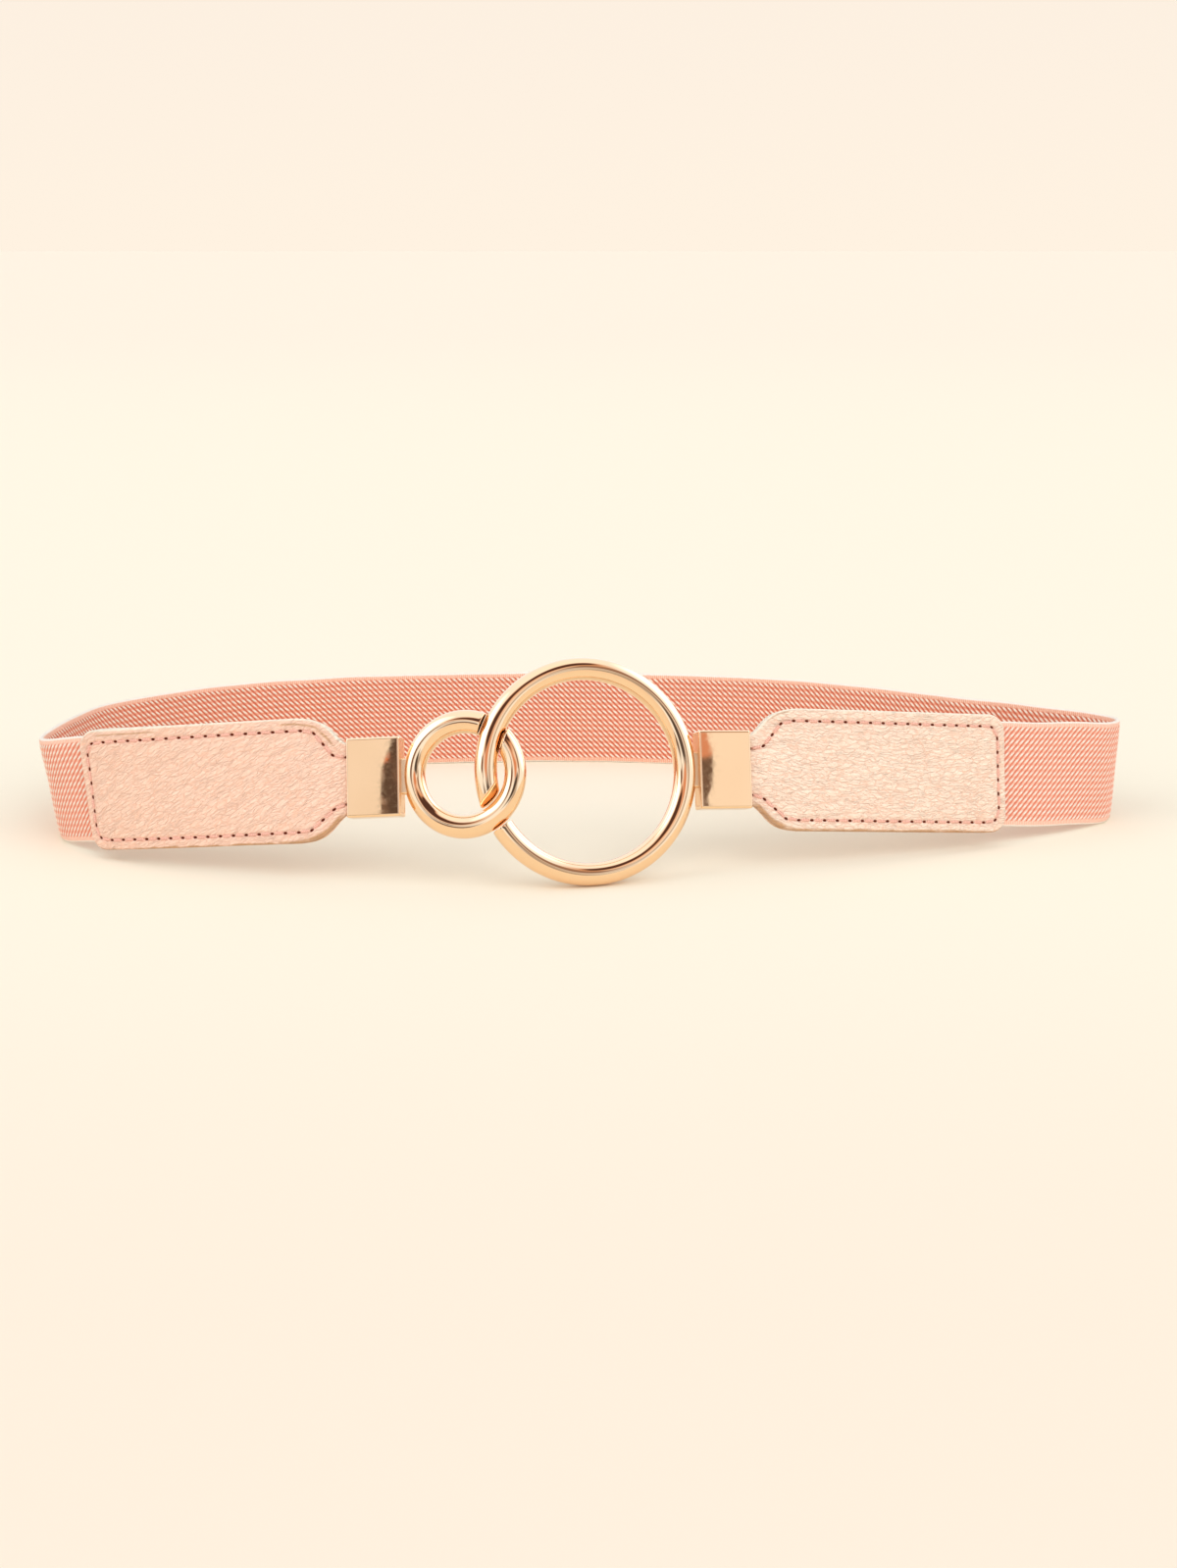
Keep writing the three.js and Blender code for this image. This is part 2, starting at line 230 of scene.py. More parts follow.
def place_halves():
    right = axes_at([0, 0, RING_HEIGHT], front_direction(RIGHT_YAW, RIGHT_DROOP), FRONT_LEAN)
    sleeve_middle = point_in(right, RIGHT_MOUTH - SLEEVE_LENGTH / 2, 0, 0)
    low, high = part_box("right_sleeve")
    right["point"] = right["point"] + np.array((low + high) / 2) / MM - sleeve_middle
    distance = BIG_RADIUS + SMALL_RADIUS - BIG_WIRE - SMALL_WIRE_AT_SIDES - LENS_GAP
    to_fold = (distance**2 + SMALL_RADIUS**2 - BIG_RADIUS**2) / (2 * distance)
    fold = point_in(right, to_fold - distance, -SMALL_RING_SAG, 0)
    left = axes_at(fold, front_direction(LEFT_YAW, -LEFT_DROOP), FRONT_LEAN)
    left["point"] = point_in(left, -to_fold, 0, 0)
    return right, left


RIGHT_HALF, LEFT_HALF = place_halves()


# The belt's centreline


def spline(points, parameters, centripetal):
    """A Catmull-Rom curve through points, at parameters from 0 to 1."""
    padded = np.vstack([2 * points[0] - points[1], points, 2 * points[-1] - points[-2]])
    place = parameters * (len(points) - 1)
    index = np.minimum(place.astype(int), len(points) - 2)
    weight = (place - index)[:, None]
    before, start, end, after = (padded[index + i] for i in range(4))
    if centripetal:
        steps = [
            np.sqrt(np.linalg.norm(b - a, axis=1))[:, None]
            for a, b in ((before, start), (start, end), (end, after))
        ]
        first, middle, last = steps
        into = (start - before) / first - (end - before) / (first + middle) + (end - start) / middle
        away = (end - start) / middle - (after - start) / (middle + last) + (after - end) / last
        into, away = into * middle, away * middle
    else:
        into, away = (end - before) / 2, (after - start) / 2
    cubic = 2 * start - 2 * end + into + away
    square = -3 * start + 3 * end - 2 * into - away
    return start + into * weight + square * weight**2 + cubic * weight**3


def strap_route():
    front_lift = RING_HEIGHT - (BAND_WIDTH / 2) * math.cos(FRONT_LEAN * DEGREE)
    ground = RIGHT_HALF["point"] - np.array([0, 0, RING_HEIGHT])
    rows = [
        (point_in(RIGHT_HALF, RIGHT_MOUTH + step, 0, 0), FRONT_LEAN)
        for step in (-NECK_INSERT, 0, SHOULDER_LENGTH)
    ]
    for across, back, lift, lean in ROUTE:
        turn = lean * DEGREE
        standing = BAND_WIDTH / 2 * math.cos(turn) + BAND_THICKNESS / 2 * abs(math.sin(turn))
        place = [across * LOOP_HALF_WIDTH, back * LOOP_DEPTH, standing + lift * front_lift]
        rows.append((ground + np.array(place), lean))
    rows += [
        (point_in(LEFT_HALF, step - LEFT_MOUTH, 0, 0), FRONT_LEAN)
        for step in (-SHOULDER_LENGTH, 0, NECK_INSERT)
    ]
    parameters = np.linspace(0, 1, 12001)
    points = spline(np.array([row[0] for row in rows]), parameters, True)
    leans = spline(np.array([[float(row[1])] for row in rows]), parameters, False)[:, 0]
    lengths = np.concatenate([[0], np.cumsum(np.linalg.norm(np.diff(points, axis=0), axis=1))])
    return points, leans, lengths


ROUTE_POINTS, ROUTE_LEANS, ROUTE_LENGTHS = strap_route()
ROUTE_DIRECTIONS = unit(np.gradient(ROUTE_POINTS, axis=0))
STRAP_LENGTH = ROUTE_LENGTHS[-1] - 2 * NECK_INSERT


def strap_axes(distances):
    """The belt's axes at distances from the right sleeve's mouth."""
    along = np.asarray(distances, float) + NECK_INSERT
    columns = [np.interp(along, ROUTE_LENGTHS, ROUTE_POINTS[:, i]) for i in range(3)]
    turns = [np.interp(along, ROUTE_LENGTHS, ROUTE_DIRECTIONS[:, i]) for i in range(3)]
    leans = np.interp(along, ROUTE_LENGTHS, ROUTE_LEANS)
    return axes_at(np.stack(columns, -1), np.stack(turns, -1), leans)


# Meshes


def grid_quads(rows, columns, wrap=False):
    """Quads over a grid of rows times columns points, closed round its columns if wrap."""
    across = columns if wrap else columns - 1
    i, j = np.meshgrid(np.arange(rows - 1), np.arange(across), indexing="ij")
    a = i * columns + j
    b = i * columns + (j + 1) % columns
    return np.stack([a, b, b + columns, a + columns], -1).reshape(-1, 4)


def signed_volume(points, groups):
    total = 0.0
    for group in groups:
        corners = points[group]
        for i in range(1, corners.shape[1] - 1):
            a, b, c = corners[:, 0], corners[:, i], corners[:, i + 1]
            total += float(np.einsum("ij,ij->", a, np.cross(b, c)))
    return total / 6


def add_object(name, data):
    made = bpy.data.objects.new(name, data)
    bpy.context.scene.collection.objects.link(made)
    return made


def make_piece(name, points, groups, material, attributes, merge=False, sharp=None):
    """A mesh object from points in millimetres and groups of faces, with its faces turned outwards."""
    points = np.asarray(points, float).reshape(-1, 3)
    inside_out = signed_volume(points - points.mean(0), groups) < 0
    faces = []
    for group in groups:
        faces += (group[:, ::-1] if inside_out else group).tolist()
    mesh = bpy.data.meshes.new(name)
    mesh.from_pydata((points * MM).tolist(), [], faces)
    for key, values in attributes.items():
        layer = mesh.attributes.new(key, "FLOAT_VECTOR", "POINT")
        layer.data.foreach_set("vector", np.asarray(values, np.float32).reshape(-1))
    if merge:
        work = bmesh.new()
        work.from_mesh(mesh)
        bmesh.ops.remove_doubles(work, verts=work.verts, dist=2e-7)
        bmesh.ops.dissolve_degenerate(work, edges=work.edges, dist=1e-7)
        work.to_mesh(mesh)
        work.free()
    mesh.polygons.foreach_set("use_smooth", [True] * len(mesh.polygons))
    if sharp is not None:
        mesh.set_sharp_from_angle(angle=sharp * DEGREE)
    mesh.update()
    piece = add_object(name, mesh)
    mesh.materials.append(material)
    return piece


def settle(piece, slot, *nodes):
    """The piece rides on the belt and stands for the CAD nodes; slot is not used."""
    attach(piece, "root")
    if nodes:
        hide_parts(*nodes)


# Materials


class Nodes:
    """A node tree, filled by short calls."""

    def __init__(self, tree):
        self.tree = tree

    def node(self, kind, inputs=None, **settings):
        made = self.tree.nodes.new(kind)
        for key, value in settings.items():
            setattr(made, key, value)
        for key, value in (inputs or {}).items():
            self.feed(made.inputs[key], value)
        return made

    def feed(self, socket, value):
        if isinstance(value, bpy.types.NodeSocket):
            self.tree.links.new(value, socket)
        else:
            socket.default_value = value

    def math(self, operation, *values):
        made = self.node("ShaderNodeMath", operation=operation)
        for socket, value in zip(made.inputs, values):
            self.feed(socket, value)
        return made.outputs[0]

    def add(self, first, second):
        return self.math("ADD", first, second)

    def minus(self, first, second):
        return self.math("SUBTRACT", first, second)

    def times(self, first, second):
        return self.math("MULTIPLY", first, second)

    def vector(self, operation, first, second):
        made = self.node("ShaderNodeVectorMath", {0: first, 1: second}, operation=operation)
        return made.outputs[0]

    def attribute(self, name):
        read = self.node("ShaderNodeAttribute", attribute_name=name)
        parts = self.node("ShaderNodeSeparateXYZ", {0: read.outputs["Vector"]})
        return read.outputs["Vector"], parts.outputs[0], parts.outputs[1], parts.outputs[2]

    def noise(self, vector, scale, detail=2.0, roughness=0.5):
        inputs = {"Vector": vector, "Scale": scale, "Detail": detail, "Roughness": roughness}
        return self.node("ShaderNodeTexNoise", inputs).outputs["Fac"]

    def scaled(self, vector, x, y, z):
        inputs = {"Vector": vector, "Scale": (x, y, z)}
        return self.node("ShaderNodeMapping", inputs).outputs[0]

    def mix(self, factor, first, second):
        made = self.node("ShaderNodeMix", data_type="RGBA")
        self.feed(made.inputs[0], factor)
        self.feed(made.inputs[6], first)
        self.feed(made.inputs[7], second)
        return made.outputs[2]

    def patch(self, place, centre, half, tilt=0.0, edge=0.2):
        """A soft-edged ellipse on a flat place: 1 inside it and 0 outside."""
        turn = (0, 0, tilt * DEGREE)
        inputs = {"Vector": place, "Location": (*centre, 0), "Rotation": turn, "Scale": (*half, 1)}
        mapped = self.node("ShaderNodeMapping", inputs, vector_type="TEXTURE").outputs[0]
        reach = self.node("ShaderNodeVectorMath", {0: mapped}, operation="LENGTH").outputs["Value"]
        return self.ramp(reach, 1 - edge, 1 + edge, 1.0, 0.0)

    def ramp(self, value, low, high, out_low=0.0, out_high=1.0, kind="LINEAR"):
        inputs = {0: value, 1: low, 2: high, 3: out_low, 4: out_high}
        return self.node("ShaderNodeMapRange", inputs, clamp=True, interpolation_type=kind).outputs[0]

    def bump(self, height, distance, strength):
        inputs = {"Height": height, "Distance": distance, "Strength": strength}
        return self.node("ShaderNodeBump", inputs).outputs[0]


class Shader(Nodes):
    """A material's nodes, with its surface."""

    def __init__(self, name):
        self.material = bpy.data.materials.new(name)
        self.material.use_nodes = True
        super().__init__(self.material.node_tree)
        self.surface = self.tree.nodes["Principled BSDF"]

    def cracks(self, vector):
        """How far a place lies from the nearest crack between cells."""
        inputs = {"Vector": vector, "Scale": 1.0}
        made = self.node("ShaderNodeTexVoronoi", inputs, feature="DISTANCE_TO_EDGE")
        return made.outputs["Distance"]

    def set(self, **values):
        for key, value in values.items():
            self.feed(self.surface.inputs[key.replace("_", " ")], value)


def linear(red, green, blue):
    """A colour of 0 to 255 screen values as the renderer's linear colour."""
    values = [channel / 255 for channel in (red, green, blue)]
    return tuple(v / 12.92 if v <= 0.04045 else ((v + 0.055) / 1.055) ** 2.4 for v in values) + (1.0,)


def webbing_material():
    """Salmon yarn: diagonal ribs of beads, one to each course; its colour follows the relief, with painted
    shade in the grooves and on the inside face, and a painted highlight on the bead tops.
    """
    s = Shader("elastic_webbing")
    weave, along, across, inside = s.attribute("weave")
    shifted = s.minus(along, s.times(across, RIB_SHEAR))
    rib = s.math("COSINE", s.times(shifted, 2 * math.pi / RIB_PITCH))
    bead = s.math("COSINE", s.times(across, 2 * math.pi / COURSE_PITCH))
    grain = s.noise(weave, 0.9, 3.0)
    speck = s.minus(s.noise(weave, 3.2, 2.0), 0.5)
    dots = s.times(s.add(s.times(rib, 0.5), 0.5), bead)
    dotted = s.ramp(inside, 0.0, 1.0, 0.42, 0.56)
    pattern = s.add(s.times(rib, 0.62), s.times(dots, dotted))
    pattern = s.add(pattern, s.times(speck, 0.9))
    edge_from = BAND_WIDTH / 2 - SELVEDGE_WIDTH
    inner = s.ramp(s.math("ABSOLUTE", across), edge_from - 0.35, edge_from + 0.15, 1.0, 0.0)
    fine = s.math("COSINE", s.times(along, 2 * math.pi / SELVEDGE_YARN_PITCH))
    selvedge = s.add(s.times(fine, 0.22), s.times(speck, 0.7))
    selvedge = s.add(selvedge, 0.18)
    relief = s.node("ShaderNodeMix", {0: inner, 2: selvedge, 3: pattern}, data_type="FLOAT").outputs[0]
    # Painted shade: the grooves are coloured a deeper salmon.
    shaded_groove = s.mix(grain, linear(223, 115, 86), linear(231, 129, 102))
    # Painted shade: the inside face, which gets less light, is coloured deeper still.
    shaded_groove = s.mix(inside, shaded_groove, linear(212, 104, 76))
    middle = s.mix(grain, linear(250, 192, 166), linear(253, 202, 178))
    middle = s.mix(inside, middle, linear(247, 186, 158))
    # Painted highlight: the tops of the beads are coloured near-white.
    light = linear(255, 244, 232)
    colour = s.mix(s.ramp(relief, -0.55, 0.15), shaded_groove, middle)
    colour = s.mix(s.ramp(relief, 0.1, 0.9), colour, light)
    rim = s.ramp(s.math("ABSOLUTE", across), BAND_WIDTH / 2 - 0.5, BAND_WIDTH / 2 - 0.2, 0.0, 0.95)
    colour = s.mix(rim, colour, linear(255, 248, 238))
    s.set(Base_Color=colour, Roughness=0.82, Sheen_Weight=0.1, Sheen_Roughness=0.5)
    s.set(Normal=s.bump(relief, 0.00022, 0.8))
    return s.material


def leather_material():
    """Pale peach leather with a fine creased grain, raw tan where its edge has worn; painted shade in the
    creases, stitch grooves and needle holes and over the whole left tab, and a painted highlight along the
    top edge.
    """
    s = Shader("peach_leather")
    _, _, across, edge = s.attribute("leather")
    _, wear, hole, stitch_groove_shade = s.attribute("marks")
    flat, _, _, left_tab_shade = s.attribute("grain")
    bent = s.node("ShaderNodeTexNoise", {"Vector": flat, "Scale": 0.45, "Detail": 3.0})
    moved = s.vector("ADD", flat, s.vector("MULTIPLY", bent.outputs["Color"], (1.8, 1.8, 0)))
    creases = s.cracks(s.scaled(moved, 0.34, 1.25, 1))
    pebbles = s.cracks(s.scaled(moved, 0.7, 2.3, 1))
    folds = s.noise(s.scaled(moved, 0.3, 1.8, 1), 1.0, 3.0, 0.6)
    pores = s.noise(flat, 4.0, 2.0)
    height = s.add(s.times(s.ramp(creases, 0.0, 0.12), 0.55), s.times(s.ramp(pebbles, 0.0, 0.15), 0.4))
    height = s.add(height, s.times(folds, 0.9))
    height = s.add(height, s.times(pores, 0.2))
    cloud = s.noise(flat, 0.1, 2.0)
    skin = s.mix(s.ramp(cloud, 0.35, 0.65), linear(254, 227, 206), linear(255, 232, 212))
    # Painted shade: the whole left tab is coloured a darker peach, as it gets less light than the right one.
    skin = s.mix(left_tab_shade, skin, linear(253, 210, 187))
    # Painted shade: the creases are coloured darker.
    skin = s.mix(s.ramp(height, 0.85, 1.4, 0.5, 0.0), skin, linear(238, 178, 148))
    uneven = s.minus(s.noise(flat, 0.22, 3.0), 0.5)
    worn = s.add(edge, s.times(uneven, 1.6))
    below = s.ramp(across, -TAB_HALF + 3.0, -TAB_HALF + 1.0)
    rim = s.times(s.ramp(worn, 0.4, 0.08, 0.0, 0.95), below)
    skin = s.mix(s.math("MAXIMUM", rim, wear), skin, linear(202, 152, 108))
    # Painted highlight: the upper edge, which faces the light, is coloured pale cream.
    top_edge_highlight = s.times(s.ramp(edge, 0.6, 0.2), s.ramp(across, 2.0, 7.0))
    skin = s.mix(top_edge_highlight, skin, linear(255, 242, 222))
    # Painted shade: the stitch groove is coloured a darker pink.
    skin = s.mix(stitch_groove_shade, skin, linear(238, 182, 164))
    # Painted shade: the needle holes are coloured dark brown.
    skin = s.mix(s.ramp(hole, 0.2, 0.6), skin, linear(110, 46, 32))
    s.set(Base_Color=skin, Roughness=s.ramp(height, 0.5, 1.6, 0.66, 0.5))
    # The needle holes also lose their specular reflection, as part of their painted shade.
    s.set(Normal=s.bump(height, 0.00019, 1.0), Specular_IOR_Level=s.ramp(hole, 0.1, 0.5, 0.5, 0.0))
    return s.material


def thread_material():
    """Dusty pink sewing thread, twisted."""
    s = Shader("dusty_thread")
    place, along, around, _ = s.attribute("thread")
    twist = s.math("SINE", s.add(s.times(along, 2 * math.pi / THREAD_TWIST_PITCH), around))
    fluff = s.noise(place, 6.0, 2.0)
    shade = s.add(s.times(twist, 0.3), fluff)
    colour = s.mix(s.ramp(shade, 0.2, 0.9), linear(230, 164, 146), linear(248, 202, 184))
    s.set(Base_Color=colour, Roughness=0.6, Normal=s.bump(twist, 0.00006, 0.6))
    return s.material


def gold_material():
    """Polished rose gold plate with faint hairlines."""
    s = Shader("rose_gold")
    place = s.node("ShaderNodeTexCoord").outputs["Object"]
    fine = s.noise(place, 900.0, 3.0)
    slow = s.noise(place, 60.0, 1.0)
    s.set(Base_Color=s.mix(slow, linear(249, 211, 168), linear(252, 216, 176)), Metallic=1.0)
    brushed = s.attribute("brushed")[1]
    s.set(Roughness=s.add(s.ramp(fine, 0.4, 0.9, 0.015, 0.05), s.times(brushed, 0.3)))
    return s.material


# Elastic webbing


def webbing_rows():
    """Places across the strip, from its lower to its upper edge, and how ribbed each row is."""
    ribbed = BAND_WIDTH / 2 - SELVEDGE_WIDTH
    count = 2 * round(ribbed / (COURSE_PITCH / 2))
    middle = np.linspace(-ribbed, ribbed, count + 1)
    side = np.array([0.55, 0.97]) * SELVEDGE_WIDTH
    return np.concatenate([-ribbed - side[::-1], middle, ribbed + side])


def rib_height(along, across):
    """The relief of the ribs from 0 in a groove to 1 on a bead."""
    rib_turn = 2 * math.pi * (along - RIB_SHEAR * across) / RIB_PITCH
    bead = 0.8 + 0.2 * np.cos(2 * math.pi * across / COURSE_PITCH)
    ribs = (0.5 + 0.5 * np.cos(rib_turn)) * bead
    ribbed = BAND_WIDTH / 2 - SELVEDGE_WIDTH
    share = smooth_step(ribbed + 0.1, ribbed - 0.5, np.abs(across))
    return ribs * share + 0.25 * (1 - share)


def make_webbing(material):
    length = STRAP_LENGTH - 2 * BAND_STOPS_SHORT
    columns = COLUMNS_PER_RIB * round(length / RIB_PITCH) + 1
    rows = webbing_rows()
    face_up = np.concatenate([rows, rows[::-1]])
    face_side = np.concatenate([np.ones(len(rows)), -np.ones(len(rows))])
    straight = np.linspace(0, length, columns)[:, None]
    from_end = np.minimum(straight, length - straight)
    shear = RIB_SHEAR * smooth_step(0, HIDDEN_END, from_end)
    along = np.clip(straight + shear * face_up[None, :], 0.0, length)
    across = np.broadcast_to(face_up[None, :], along.shape)
    relief = rib_height(along, across)
    edge = BAND_WIDTH / 2 - np.abs(across)
    half = BAND_THICKNESS / 2 + RIB_SWELL - RIB_DEPTH * (1 - relief)
    half = np.where(edge < EDGE_STRIP, EDGE_HALF_THICKNESS, half)
    across_now = across + 0.07 * waves(along, across * 0, 9, 90, 9, 5) * np.abs(across) / (BAND_WIDTH / 2)
    out = half * face_side[None, :] + 0.05 * waves(along, across, 7, 40, 12, 9)
    points = point_in(strap_axes(BAND_STOPS_SHORT + along), np.zeros_like(along), across_now, out)
    around = len(face_up)
    last = (columns - 1) * around
    ends = np.array([[k, k + 1, around - 2 - k, around - 1 - k] for k in range(len(rows) - 1)])
    faces = [grid_quads(columns, around, wrap=True), ends, ends[:, ::-1] + last]
    inside = np.broadcast_to((1 - face_side)[None, :] / 2, along.shape)
    attributes = {"weave": np.stack([along, across, inside], -1)}
    piece = make_piece("webbing", points, faces, material, attributes)
    settle(piece, "elastic", "elastic_band")


# Leather tabs, in distances from the sleeve's mouth and heights across the strap

TAB_HALF = BAND_WIDTH / 2 + TAB_MARGIN
TAB_FACE = BAND_THICKNESS / 2 + CLEARANCE + LEATHER_THICKNESS
CAVITY_HEIGHT = SLEEVE_HEIGHT - 2 * SLEEVE_WALL
CAVITY_THICKNESS = SLEEVE_THICKNESS - 2 * SLEEVE_WALL
NECK_HALF = CAVITY_HEIGHT / 2 - CLEARANCE
NECK_FACE = CAVITY_THICKNESS / 2 - CLEARANCE
SEAM = CLEARANCE / 2


# The shoulder's curve from the sleeve's mouth: along the tab, and how far below its full half width
SHOULDER = [(0, 6.3), (1, 5.75), (2.2, 4.75), (4.1, 2.75), (5.9, 1.4), (7.8, 0.6), (9.7, 0.22), (12, 0)]


def tab_outline():
    """The upper outline of a tab from the sleeve's mouth to its outer end, as points."""
    shoulder = spline(np.array(SHOULDER, float), np.linspace(0, 1, 50), True)
    shoulder[:, 1] = TAB_HALF - np.maximum(shoulder[:, 1], 0)
    turns = np.linspace(0, math.pi / 2, 17)
    corner = np.stack([
        TAB_LENGTH - TAB_CORNER + TAB_CORNER * np.sin(turns),
        TAB_HALF - TAB_CORNER * (1 - np.cos(turns)),
    ], -1)
    return np.vstack([shoulder, corner])


OUTLINE = tab_outline()


def distance_to_path(x, y, path):
    """The distance from points to a polyline."""
    best = np.full(x.shape, 1e9)
    for (ax, ay), (bx, by) in zip(path[:-1], path[1:]):
        length = (bx - ax) ** 2 + (by - ay) ** 2
        if length < 1e-12:
            continue
        share = np.clip(((x - ax) * (bx - ax) + (y - ay) * (by - ay)) / length, 0, 1)
        best = np.minimum(best, np.hypot(x - ax - share * (bx - ax), y - ay - share * (by - ay)))
    return best


def rounded(points, reaches, steps=6):
    """A polyline with its inner corners turned into small curves, each reaching as far as it is given."""
    result = [points[0]]
    for before, corner, after, radius in zip(points[:-2], points[1:-1], points[2:], reaches):
        corner, before, after = (np.array(p, float) for p in (corner, before, after))
        start = corner + unit(before - corner) * radius
        end = corner + unit(after - corner) * radius
        for t in np.linspace(0, 1, steps):
            result.append(start * (1 - t) ** 2 + corner * 2 * t * (1 - t) + end * t**2)
    result.append(points[-1])
    return np.array([np.array(p, float) for p in result])


def stitch_path():
    top = TAB_HALF - STITCH_TOP_INSET
    bottom = -TAB_HALF + STITCH_BOTTOM_INSET
    end = TAB_LENGTH - STITCH_END_INSET
    corners = [
        (-1.4, 4.7), (3.1, 4.8), (7.9, top - 0.2), (10.5, top), (end, top),
        (end, bottom), (8.2, bottom), (2.1, -5.8), (-1.4, -5.8),
    ]
    return rounded(corners, [1.3, 1.3, 1.3, 2.6, 3.2, 1.3, 1.3])


STITCH_LINE = stitch_path()


def along_path(path, distances):
    steps = np.linalg.norm(np.diff(path, axis=0), axis=1)
    lengths = np.concatenate([[0], np.cumsum(steps)])
    return np.stack([np.interp(distances, lengths, path[:, i]) for i in range(2)], -1), lengths[-1]


def needle_holes():
    _, total = along_path(STITCH_LINE, [0])
    count = round(total / STITCH_PITCH)
    places = (np.arange(count) + 0.5) * total / count
    holes = along_path(STITCH_LINE, places)[0]
    aims = unit(along_path(STITCH_LINE, places + 0.3)[0] - along_path(STITCH_LINE, places - 0.3)[0])
    return holes, aims


HOLES, HOLE_AIMS = needle_holes()


def worn_lines(side, layer, along, across, edge):
    """Where the edge's coating has split and the tan core shows, as in the photograph."""
    if layer == "back":
        return np.zeros(along.shape)
    upper, lower = smooth_step(0, 1, across), smooth_step(0, 1, -across)
    if side == "left":
        lines = [
            (46.3, 61.7, 1.25, 0.2, 0.75, upper), (6.3, 15.4, 1.45, 0.26, 0.8, upper),
            (3.2, 6.4, 1.9, 0.3, 0.8, upper), (5.0, 16.0, 0.25, 0.32, 0.7, lower),
            (1.5, 9.0, 0.1, 0.55, 0.9, lower),
        ]
    else:
        lines = [
            (40.0, 58.0, 0.25, 0.3, 0.6, lower), (8.0, 30.0, 0.2, 0.3, 0.5, lower),
            (1.0, 8.0, 0.1, 0.6, 0.9, lower), (4.2, 9.6, 0.45, 0.26, 0.8, upper),
            (41.0, 49.0, 0.95, 0.09, 0.45, upper),
        ]
    total = np.zeros(along.shape)
    for start, end, depth, half, strength, where in lines:
        window = smooth_step(start - 1.0, start + 1.0, along) * smooth_step(end + 1.0, end - 1.0, along)
        ragged = depth + 0.05 * waves(along, across * 0, 7, 12, 2.0, 77)
        line = np.exp(-(((edge - ragged) / half) ** 4))
        total = np.maximum(total, strength * window * line * where)
    return total


def grain_place(side, along, across, seed):
    """Places whose first direction follows the creases: slanting on the left tab, bowed on the right one."""
    if side == "left":
        return along + seed * 37, across + along * math.tan(24 * DEGREE)
    return along + seed * 37, across + 0.13 * along - 0.0021 * along**2


def leather_face(side, along, across, seed):
    """The outer face of a tab: its height, the distance to its edge, and its shares of groove and hole."""
    edge = distance_to_path(along, np.abs(across), np.vstack([OUTLINE, [TAB_LENGTH, 0]]))
    edge = np.where(along < 0, 9.0, edge)
    face = NECK_FACE + (TAB_FACE - NECK_FACE) * smooth_step(-0.5, SHOULDER_LENGTH, along)
    inside = np.clip(1 - edge / EDGE_ROUND, 0, 1)
    face = face - EDGE_ROUND * (1 - np.sqrt(np.clip(1 - inside**2, 0, 1)))
    from_side = TAB_HALF - np.abs(across)
    face = face - 0.12 * smooth_step(2.4, 0.4, from_side)
    line = distance_to_path(along, across, STITCH_LINE)
    groove = np.exp(-((line / GROOVE_REACH) ** 2))
    hole = np.zeros(along.shape)
    for (x, y), aim in zip(HOLES, HOLE_AIMS):
        with_aim = (along - x) * aim[0] + (across - y) * aim[1]
        off_aim = (along - x) * aim[1] - (across - y) * aim[0]
        reach = (with_aim / HOLE_REACH_WITH_STITCH) ** 2 + (off_aim / HOLE_REACH_ACROSS) ** 2
        hole = np.maximum(hole, np.exp(-(reach**2)))
    puff = smooth_step(0.3, 3.2, line) * smooth_step(1.5, 5.5, edge)
    face = face - GROOVE_DEPTH * groove - HOLE_DEPTH * hole + PUFF_HEIGHT * puff
    face = face + 0.05 * waves(along, across, 12, 24, 6, seed) * smooth_step(0, 2, edge)
    with_grain, cross = grain_place(side, along, across, seed)
    quiet = smooth_step(0.3, 1.5, edge) * smooth_step(0.2, 1.0, line)
    face = face + 0.022 * waves(with_grain * 0.35, cross, 22, 2.6, 0.9, seed + 1) * quiet
    return face, edge, groove, hole


def tab_half_at(along):
    half = np.interp(along, OUTLINE[:, 0], OUTLINE[:, 1])
    return np.where(along < 0, NECK_HALF, half)


